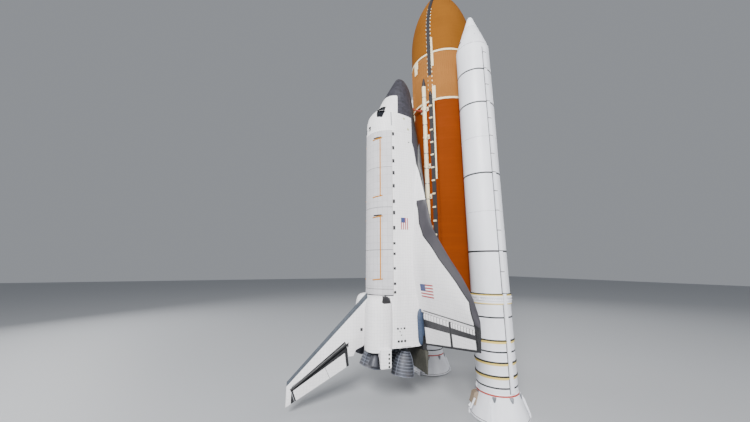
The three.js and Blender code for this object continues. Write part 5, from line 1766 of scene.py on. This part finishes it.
# Columns: station, middle (y, z), half breadth, half height
POD_ROWS = (
    (1309.5, 66, 470, 20, 24), (1314, 67, 471, 34, 38), (1322, 68, 472, 43, 46),
    (1338, 69, 473, 48, 51), (1370, 70, 474, 51, 54), (1440, 71, 475, 52.5, 54.5),
    (1490, 71.5, 476, 52.5, 54), (1515, 72, 477, 51, 52.5),
)
FIN_ROOT = {"z": 492, "lead": 1292, "hinge": 1433.4, "trail": 1542.5, "half": 13.5}
FIN_TIP = {"z": 815.72, "lead": 1615.7, "hinge": 1658.7, "trail": 1702.1, "half": 5.2}
FIN_SHAPE = ((0.0, 0.0), (0.02, 0.2), (0.12, 0.42), (0.5, 0.8), (1.0, 1.0))
FIN_SHARES = (0.004, 0.012, 0.03, 0.06, 0.12, 0.2, 0.3, 0.4, 0.5, 0.65, 0.8, 1.0)
RUDDER = {"bottom": 590, "top": 800, "cove": 2.2, "inset": 1.2, "bottom_rake": 0.46,
          "top_rake": 0.25, "reach": 160}
FIN_FOOT = ((1508, 470), (1508, 500), (1527, 550), (1550, 560), (1550, 640), (1720, 640), (1720, 470))


def engine_place(engine):
    _, x, y, z, pitch, cant, _, _ = engine
    return (Matrix.Translation((x, y, z)) @ turned_about(cant) @ turned_about(-pitch, "Y")
            @ turned_about(90, "Y"))


def engine_well(engine):
    scale, radius = engine[6], engine[7]
    front, back = BALL_R * scale + GAP, -140
    profile = [(front, 0), (front, radius), (back, radius), (back, 0)]
    return moved(revolve(profile, 0, 48), engine_place(engine))


def engine_sweep(engine):
    """Room that a bell needs as it tilts"""
    scale, sides = engine[6], 48
    pitch, yaw = POD_TILT if scale < 1 else MAIN_TILT
    down, aside = math.sin(math.radians(pitch)), math.sin(math.radians(yaw))
    circle = [(math.cos(a), math.sin(a)) for a in (2 * math.pi * (i + 0.5) / sides for i in range(sides))]
    rings, widest = [], 0

    def push(along, distance, radius):
        room = max(widest, radius) + CLEARANCE * 1.2
        rings.append([(math.copysign(distance * down, c) + room * c,
                       math.copysign(distance * aside, s) + room * s, along) for c, s in circle])
        return max(widest, radius)

    widest = push(-(BALL_R * scale + GAP), BELL[0][0] * scale, BELL[0][1] * scale)
    for d, radius in BELL:
        along = d * scale * math.cos(math.radians(pitch)) - radius * scale * down - CLEARANCE
        if along > rings[-1][0][2] + 0.5:
            widest = push(along, d * scale, radius * scale)
    push(BELL[-1][0] * scale + 40, BELL[-1][0] * scale, BELL[-1][1] * scale)
    return moved(loft(rings), engine_place(engine))


def engine_room(*engines):
    """Cutters for the wells of engines and for their bells' tilt"""
    return [tool for engine in engines for tool in (engine_well(engine), engine_sweep(engine))]


def aft_fuselage():
    centre, height, reach, half = (STUB[k] for k in ("centre", "height", "reach", "half"))
    circle = [(math.cos(a), math.sin(a)) for a in (2 * math.pi * k / 32 for k in range(32))]
    stub = loft([[(x, centre + (reach - centre) * share * c, height + half * share * s) for c, s in circle]
                 for x, share in STUB_ROWS])
    shelf = block((SHELF["start"], -SHELF["half"], SHELF["low"]),
                  (FLAP["x"] - FLAP["radius"] - GAP, SHELF["half"], SHELF["high"]))
    body = hull(BAY_END, HULL_END, step=8)
    hull_scored(body, BAY_END, HULL_END)
    body = carved(body, *engine_room(*ENGINES))
    painted_hull(body, SOOT)
    paint(body, SOOT, lambda c, n: c.x > HULL_END - 0.5)
    # Dark strip on the aft fuselage just behind the doors, above the hinges: painted shadow of the gap
    # between the doors and the pods
    seam = BAY_END + 4
    scored(body, [(seam, z) for z in (400, 460, 520)], (0, 2))
    paint(body, GAP_SHADOW, lambda c, n: c.x < seam and c.z > HINGE_HEIGHT)
    shelf = carved(shelf, *engine_room(*ENGINES))
    paint(shelf, BLACK, lambda c, n: True)
    paint(stub, SLATE, lambda c, n: True)
    piece("aft_fuselage", joined(body, shelf, stub, mirrored(stub)), ON_ORBITER, hull_materials(),
          ["orbiter_aft_fuselage"])

    x, z, radius = FLAP["x"], FLAP["z"], FLAP["radius"]
    outline = [(x + radius * math.cos(a), z + radius * math.sin(a))
               for a in steps(math.pi / 2, 3 * math.pi / 2, 16)]
    outline += [(x + FLAP["chord"], z - 1.2), (x + FLAP["chord"], z + 1.2)]
    flap = loft([[(a, y, b) for a, b in outline] for y in steps(-FLAP["half"], FLAP["half"], 8)])
    box_map(flap)
    piece("body_flap_skin", flap, ON_ORBITER, [flap_tile()], ["body_flap"], "body_flap")


def fin_at(z, key):
    return lerp(FIN_ROOT[key], FIN_TIP[key], (z - FIN_ROOT["z"]) / (FIN_TIP["z"] - FIN_ROOT["z"]))


def fin_ring(z):
    lead, hinge, trail, half = (fin_at(z, key) for key in ("lead", "hinge", "trail", "half"))
    side = [(lead, 0)] + [(lerp(lead, hinge, t), half * mix_rows(FIN_SHAPE, t)[1]) for t in FIN_SHARES]
    side.append((trail, 0.9))
    return [(x, y, z) for x, y in side] + [(x, -y, z) for x, y in side[:0:-1]]


def whole_fin():
    return loft([fin_ring(z) for z in steps(FIN_ROOT["z"], FIN_TIP["z"], 36)])


def fin_frame():
    """Matrix whose third axis runs up the hinge line from the rudder's foot, and the hinge's length"""
    foot = Vector((fin_at(RUDDER["bottom"], "hinge"), 0, RUDDER["bottom"]))
    head = Vector((fin_at(RUDDER["top"], "hinge"), 0, RUDDER["top"]))
    up = (head - foot).normalized()
    turn = Matrix(((up.z, 0, up.x, foot.x), (0, 1, 0, 0), (-up.x, 0, up.z, foot.z), (0, 0, 0, 1)))
    return turn, (head - foot).length


def hub_radius(z):
    return fin_at(z, "half") - RUDDER["inset"]


def behind_hinge(low, high, room, inner, outer, length):
    """Prism behind the hinge line, between the raked lines of the rudder's foot and head"""
    reach, foot, head = (RUDDER[k] for k in ("reach", "bottom_rake", "top_rake"))
    outline = [(low, room + low * foot), (reach, room + reach * foot),
               (reach, length - room + reach * head), (high, length - room + high * head)]
    return prism([(b, a) for a, b in outline], 1, inner, outer)


def fin_line(key, low, high):
    """Line up the fin, set off from one of its edges at the root and at the tip"""
    return [(fin_at(end["z"], key) + off, end["z"]) for end, off in ((FIN_ROOT, low), (FIN_TIP, high))]


def station_at(line, z):
    return level([(b, a) for a, b in line], z)


def fin():
    turn, length = fin_frame()
    bottom, top = RUDDER["bottom"], RUDDER["top"]
    wide = 40

    def cove_radius(z):
        return math.hypot(hub_radius(z) + 2 * GAP, fin_at(z, "half")) + RUDDER["cove"]

    profile = [(0, 0), (0, cove_radius(bottom)), (-length, cove_radius(top)), (-length, 0)]
    cove = moved(revolve(profile, 0, 48), turn)
    room = moved(behind_hinge(0, 0, 0, -wide, wide, length), turn)
    notch = prism([(z, x) for x, z in FIN_FOOT], 1, -wide, wide)
    form = carved(whole_fin(), cove, room, notch, hull(1280, HULL_END, 0, 14, 16),
                  engine_sweep(UPPER_ENGINE),
                  block((BAY_START, -wide, HINGE_HEIGHT), (BAY_END, wide, bottom)))
    box_map(form)
    edge, hinge = fin_line("lead", 24, 15), fin_line("hinge", 3, -14)
    for line in (edge, hinge):
        scored(form, line, (0, 2))
    paint(form, 1, lambda c, n: c.x < station_at(edge, c.z))
    paint(form, 2, lambda c, n: c.x > station_at(hinge, c.z) and bottom - 6 < c.z < top)
    low, high = FIN_BOX["low"], FIN_BOX["high"]
    half = fin_at((low + high) / 2, "half") + 1
    box = block((FIN_BOX["start"], -half, low), (FIN_BOX["end"], half, high))
    paint(box, 2, lambda c, n: True)
    piece("fin_skin", joined(form, box), ON_ORBITER, [white_tile(), fin_edge(), black_tile()],
          ["fin"], sharp=25)


def rudder():
    turn, length = fin_frame()
    bottom, top = RUDDER["bottom"], RUDDER["top"]
    foot_r, head_r = hub_radius(bottom), hub_radius(top)
    side = moved(behind_hinge(foot_r + 2 * GAP, head_r + 2 * GAP, CLEARANCE, GAP * 1.5, 40, length), turn)
    panel = carved(whole_fin(), side, operation="INTERSECT")
    box_map(panel)
    # Black tiles along the hinge, the foot, the head and one seam between
    edge = [(fin_at(z, "hinge") + lerp(29, 5, (z - bottom) / (top - bottom)), z) for z in (560, 830)]
    low = [(1440, bottom + 24), (1720, bottom - 26)]
    high = [(1600, top + 10), (1740, top - 43)]
    seam = [[(x, 695 - (x - 1540) * 0.5 + d) for x in (1540, 1660)] for d in (-0.7, 0.7)]
    for line in (edge, low, high, *seam):
        scored(panel, line, (0, 2))
    paint(panel, 2, lambda c, n: c.x < station_at(edge, c.z) or c.z < level(low, c.x)
          or c.z > level(high, c.x) or level(seam[0], c.x) < c.z < level(seam[1], c.x))
    for side, label in SIDES:
        body = "rudder_" + label
        piece(body + "_skin", on_side(panel, side), ON_ORBITER, [white_tile(), fin_edge(), black_tile()],
              [body], body, 25)
    panel.free()
    hub = revolve([(-GAP, 0), (-GAP, foot_r), (GAP - length, head_r), (GAP - length, 0)], 0, 40)
    piece("rudder_hub_skin", moved(hub, turn), ON_ORBITER, [black_tile()], ["rudder_hub"],
          "rudder_hub")


POD_STATIONS = (1309.5, 1310.5, 1312, 1314, 1317, 1322, 1329, 1338)
# Dark patch on the pod's front corner: station, height
POD_PATCH = [(1311, 440), (1316, 435), (1338, 435), (1338, 470), (1331, 478), (1311, 468)]


def pod_ring(x, count=64):
    _, yc, zc, a, b = mix_rows(POD_ROWS, x)

    def bulge(value):
        return math.copysign(abs(value) ** (2 / 2.5), value)

    fine = [(yc + a * bulge(math.cos(t)), zc + b * bulge(math.sin(t)), 0)
            for t in steps(0, 2 * math.pi, 720)]
    return [(x, p.x, p.y) for p in even_points(fine, count)[:-1]]


def thruster_mouths():
    """Mouths on the jet block's flank, its top and its end"""
    mouths = [tube([(x, 134, 456.5), (x, 136.5, 456.5)], 4.1, 20) for x in (1519.5, 1534.5, 1549.4, 1562.5)]
    mouths += [tube([(x, 109, 487), (x, 109, 490.4)], 2.6, 16) for x in (1518, 1530, 1542, 1554)]
    mouths += [tube([(1567, 120, z), (1570.3, 120, z)], 3.6, 16) for z in (458, 474)]
    return joined(*mouths)


def pods():
    start, end = 1350, POD_ROWS[-1][0]
    skin = loft([pod_ring(x) for x in (*POD_STATIONS, *steps(start, end, 20))])
    jets = block(*JET_BLOCK)
    bmesh.ops.bevel(jets, geom=jets.edges[:], offset=3, segments=3, affect="EDGES")
    box_map(jets)

    def tools():
        return [*engine_room(RIGHT_POD_ENGINE, UPPER_ENGINE), engine_sweep(RIGHT_ENGINE)]

    skin = carved(skin, *tools(), hull(1290, HULL_END, 0, 14, 16))
    jets = carved(jets, *tools())
    scored(skin, POD_PATCH + POD_PATCH[:1], (0, 2), lambda c: c.y > 60)
    paint(skin, 1, lambda c, n: c.y > 80 and within(POD_PATCH, c.x, c.z))
    paint(skin, 2, lambda c, n: c.x > end - 3)
    whole, mouths = joined(skin, jets), thruster_mouths()
    for side, label in SIDES:
        piece(f"pod_{label}_skin", on_side(whole, side), ON_ORBITER,
              [white_tile(), black_tile(), heat_shield()], ["pod_" + label])
        piece(f"pod_{label}_thrusters", on_side(mouths, side), ON_ORBITER, [liner()])
    whole.free()
    mouths.free()


def main_hoops():
    """Hoops round a main bell, wider towards the rim, and three seams along it"""
    section = ((-1.6, -0.6), (-1.2, 1.5), (1.2, 1.7), (1.6, -0.6))
    hoops = []
    for d in HOOPS:
        r = mix_rows(FINE_BELL, d)[1]
        hoops.append(revolve([(-d - along, r + out) for along, out in section], 0, 64, closed=True))
    for a in (0.5, 2.6, 4.7):
        seam = [(-(r + 1.2) * math.cos(a), (r + 1.2) * math.sin(a), d) for d, r in FINE_BELL if d > THROAT]
        hoops.append(tube(seam, 1.4, 8))
    return joined(*hoops)


def pod_hoops():
    return joined(*[revolve([(-d, r - 0.5), (-d, r + 1.4), (-d - 2, r + 1.6), (-d - 2, r - 0.5)], 0, 48,
                            closed=True) for d, r in POD_HOOPS])


def powerhead():
    """Pump housings and ducts round the chamber"""
    parts = []
    for angle, r, start, end, size in PUMPS:
        a = math.radians(angle)
        path = [(r * math.cos(a), r * math.sin(a), d) for d in steps(start, end, len(PUMP_SHAPE) - 1)]
        parts.append(tube(path, [size * share for share in PUMP_SHAPE], 18))
    for first in (25, 145, 265):
        path = []
        for t in steps(0, 1, 10):
            a, r = math.radians(first) + t * 0.9, 11 + 4 * math.sin(t * math.pi)
            path.append((r * math.cos(a), r * math.sin(a), 34 + 25 * t))
        parts.append(tube(path, 1.8, 12))
    return joined(*parts)


def engines():
    for engine in ENGINES:
        name, scale = engine[0], engine[6]
        small = scale < 1
        place = ON_ORBITER @ engine_place(engine) @ Matrix.Scale(scale, 4)
        front = BALL_R + GAP / scale
        outside = [(-front, 0), (-front, 6), (-10, 12)] + [(-d, r) for d, r in FINE_BELL]
        inside = [(-d, r - BELL_WALL) for d, r in reversed(FINE_BELL) if d > THROAT]
        form = revolve(outside + inside + [(-THROAT, 10), (-THROAT, 0)], 0, 64)
        paint(form, 1, lambda c, n: c.z > THROAT and n.x * c.x + n.y * c.y < 0
              or (math.hypot(c.x, c.y) < 12 and c.z > THROAT - 1))
        piece(name + "_bell", form, place, [coated_bell() if small else bell_alloy(), liner()],
              [name], name)
        gimbal = name.replace("engine", "gimbal")
        ball = revolve([(-BALL_R * math.sin(a), BALL_R * math.cos(a))
                        for a in steps(-math.pi / 2, math.pi / 2, 16)], 0, 24)
        piece(gimbal + "_ball", ball, place, [steel()], [gimbal], gimbal)
        hoops = pod_hoops() if small else main_hoops()
        piece(name + "_hoops", hoops, place, [coated_bell() if small else hoop_alloy()],
              body=name)
        if not small:
            piece(name + "_powerhead", powerhead(), place, [steel()], body=name)


# Small marks of the orbiter

FLAG_RED, FLAG_WHITE, FLAG_BLUE = "A8323A", "F2F0EE", "2C3A6B"
WING_FLAG = {"start": 1262, "bar": 5.6, "bars": 9, "inner": 140, "outer": 234}
SIDE_FLAG = {"start": 984, "end": 1036, "low": 349, "bar": 4.7, "bars": 7}
NEW_TILES = ((511, 356), (563, 337))
# Vents on the side: station, height, radius
VENTS = ((628, 336, 3.0), (1437, 405, 4.2), (1437, 390.5, 3.0), (1437, 376, 4.2), (1484.7, 402.7, 4.8),
         (1484.7, 389.2, 4.8), (1484.7, 374.7, 4.8), (1448, 396, 2.4), (1462, 390, 2.4))


def plate(name, x0, x1, z0, z1, lift, material, side):
    """Thin plate on the fuselage's side between two stations and two heights"""
    rings = []
    for x in steps(x0, x1, max(1, int((x1 - x0) / 6))):
        outline = [(z, lift) for z in steps(z0, z1, 6)] + [(z, -0.6) for z in steps(z1, z0, 6)]
        rings.append([(x, side * (hull_half(x, z) + out), z) for z, out in outline])
    piece(name, loft(rings), ON_ORBITER, [material])


def wing_plate(name, x0, x1, y0, y1, lift, material):
    """Thin plate that follows the top of the starboard wing"""
    rings = []
    for y in steps(y0, y1, 8):
        _, lead, thick, deepest = mix_rows(WING_ROWS, y)
        top = [(x, y, wing_heights(x, y, lead, thick, deepest)[1] + lift) for x in steps(x0, x1, 3)]
        rings.append(top + [(x, y, z - lift - 0.6) for x, y, z in top[::-1]])
    piece(name, loft(rings), ON_ORBITER, [material])


def bar_paint(number):
    return stripe_paint(FLAG_WHITE if number % 2 else FLAG_RED)


def orbiter_marks():
    # Striped flags of plain bars with a plain corner, on the wing and on both sides
    start, bar, inner = (WING_FLAG[k] for k in ("start", "bar", "inner"))
    for k in range(WING_FLAG["bars"]):
        x = start + k * bar
        wing_plate(f"wing_flag_bar_{k}", x, x + bar, inner, WING_FLAG["outer"], 0.35, bar_paint(k))
    wing_plate("wing_flag_corner", start - 0.1, start + 27, inner - 0.1, inner + 40, 0.5,
               stripe_paint(FLAG_BLUE))
    start, end, low, bar = (SIDE_FLAG[k] for k in ("start", "end", "low", "bar"))
    for side, label in SIDES:
        for k in range(SIDE_FLAG["bars"]):
            z = low + k * bar
            plate(f"flag_bar_{label}_{k}", start, end, z, z + bar, 0.15, bar_paint(k), side)
        plate(f"flag_corner_{label}", start - 0.1, start + 22, low + 14, low + 33, 0.25,
              stripe_paint(FLAG_BLUE), side)
        for number, (x, z) in enumerate(NEW_TILES):
            plate(f"new_tile_{label}_{number}", x - 5, x + 5, z - 5, z + 5, 0.1, stripe_paint("B4B58C"), side)
        plate(f"side_slot_{label}", 486, 556, 417.5, 422, 0.1, stripe_paint("8F9096"), side)
        for number, (x, z, size) in enumerate(VENTS):
            y = hull_half(x, z)
            vent = tube([(x, side * (y - 3), z), (x, side * (y + 0.6), z)], size, 20)
            piece(f"vent_dot_{label}_{number}", vent, ON_ORBITER, [joint_band()])
        plate(f"aft_line_{label}", 1506.2, 1507.6, 300, 470, 0.1, dark_edge(), side)


# Stage

# Camera of the photo: place, turn left from +Y and tilt up in degrees, focal length and width in pixels
CAMERA = {"place": (3.062, -1.379, 1.376), "turn": 70.2, "tilt": 11, "focal": 283.5, "width": 750}
SENSOR = 36
ROOM_LIGHT = 0.4
AIM_HEIGHT = 2.6
FLOOR_SIDE = 60


def area_light(name, place, size, power):
    data = bpy.data.lights.new(name, "AREA")
    data.shape, data.size, data.energy = "DISK", size, power
    lamp = bpy.data.objects.new(name, data)
    lamp.location = place
    aim = Vector((0, AXIS_Y, AIM_HEIGHT))
    lamp.rotation_euler = (aim - Vector(place)).to_track_quat("-Z", "Y").to_euler()
    bpy.context.scene.collection.objects.link(lamp)
    return lamp


def stage():
    s = settings().stage
    bpy.ops.mesh.primitive_plane_add(size=FLOOR_SIDE, location=(0, 0, 0))
    ground = bpy.context.object
    ground.name = "floor"
    ground.data.materials.append(surface("painted floor", s.floor, 0.55))
    lights = [area_light(*row) for row in (
        ("key light", (8.0, -5.0, 7.0), 4.0, s.key_power),
        ("fill light", (-6.0, -6.5, 4.5), 5.0, s.fill_power),
        ("back light", (-4.5, 7.0, 7.5), 4.0, s.fill_power * 0.8),
        ("low light", (6.5, 2.5, 1.6), 3.0, s.fill_power * 0.35))]
    world = bpy.data.worlds.new("Room")
    bpy.context.scene.world = world
    world.use_nodes = True
    background = world.node_tree.nodes["Background"]
    background.inputs["Color"].default_value = list(s.sky)
    background.inputs["Strength"].default_value = ROOM_LIGHT
    data = bpy.data.cameras.new("camera")
    data.sensor_width, data.lens = SENSOR, SENSOR * CAMERA["focal"] / CAMERA["width"]
    data.dof.use_dof = False
    data.clip_end = 200
    camera = bpy.data.objects.new("camera", data)
    camera.location = CAMERA["place"]
    turn, tilt = math.radians(CAMERA["turn"]), math.radians(CAMERA["tilt"])
    way = Vector((-math.sin(turn) * math.cos(tilt), math.cos(turn) * math.cos(tilt), math.sin(tilt)))
    camera.rotation_euler = way.to_track_quat("-Z", "Y").to_euler()
    bpy.context.scene.collection.objects.link(camera)
    bpy.context.scene.camera = camera


# Operators


class StackOperator(bpy.types.Operator):
    """Step of the launch stack"""
    bl_options = {"REGISTER", "UNDO"}
    work = ()

    def execute(self, context):
        for step in self.work:
            step()
        return {"FINISHED"}


class STACK_OT_tank(StackOperator):
    """Dress the tank and its fittings"""
    bl_idname = "stack.tank"
    bl_label = "Tank"
    work = (tank_shell, feed_pipe, cable_tray, tank_attachments)


class STACK_OT_boosters(StackOperator):
    """Dress both boosters"""
    bl_idname = "stack.boosters"
    bl_label = "Boosters"
    work = (boosters,)


class STACK_OT_fuselage(StackOperator):
    """Dress the orbiter's fuselage and payload doors"""
    bl_idname = "stack.fuselage"
    bl_label = "Fuselage"
    work = (forward_fuselage, mid_fuselage, bay_doors, aft_fuselage)


class STACK_OT_wings(StackOperator):
    """Dress the wings and elevons"""
    bl_idname = "stack.wings"
    bl_label = "Wings"
    work = (wings, elevons)


class STACK_OT_tail(StackOperator):
    """Dress the fin, rudder and pods"""
    bl_idname = "stack.tail"
    bl_label = "Tail"
    work = (fin, rudder, pods)


class STACK_OT_engines(StackOperator):
    """Dress the main and pod engines"""
    bl_idname = "stack.engines"
    bl_label = "Engines"
    work = (engines,)


class STACK_OT_marks(StackOperator):
    """Add the orbiter's plain marks"""
    bl_idname = "stack.marks"
    bl_label = "Marks"
    work = (orbiter_marks,)


class STACK_OT_stage(StackOperator):
    """Add floor, lights and camera"""
    bl_idname = "stack.stage"
    bl_label = "Stage"
    work = (stage,)


STEPS = (STACK_OT_tank, STACK_OT_boosters, STACK_OT_fuselage, STACK_OT_wings, STACK_OT_tail, STACK_OT_engines,
         STACK_OT_marks, STACK_OT_stage)


class STACK_PT_panel(bpy.types.Panel):
    """Steps and settings of the launch stack"""
    bl_label = "Launch Stack"
    bl_idname = "STACK_PT_panel"
    bl_space_type = "VIEW_3D"
    bl_region_type = "UI"
    bl_category = "Launch Stack"

    def draw(self, context):
        stack = context.scene.launch_stack
        for group in (stack.tank, stack.booster, stack.orbiter, stack.stage):
            box = self.layout.box()
            for key in group.bl_rna.properties.keys():
                if key not in {"rna_type", "name"}:
                    box.prop(group, key)
        for step in STEPS:
            self.layout.operator(step.bl_idname)


CLASSES = (TankSettings, BoosterSettings, OrbiterSettings, StageSettings, LaunchStackSettings, *STEPS,
           STACK_PT_panel)


def register():
    for kind in CLASSES:
        bpy.utils.register_class(kind)
    bpy.types.Scene.launch_stack = bpy.props.PointerProperty(type=LaunchStackSettings)


def unregister():
    del bpy.types.Scene.launch_stack
    for kind in reversed(CLASSES):
        bpy.utils.unregister_class(kind)


def main():
    register()
    for step in STEPS:
        group, name = step.bl_idname.split(".")
        getattr(getattr(bpy.ops, group), name)()


if __name__ == "__main__":
    main()
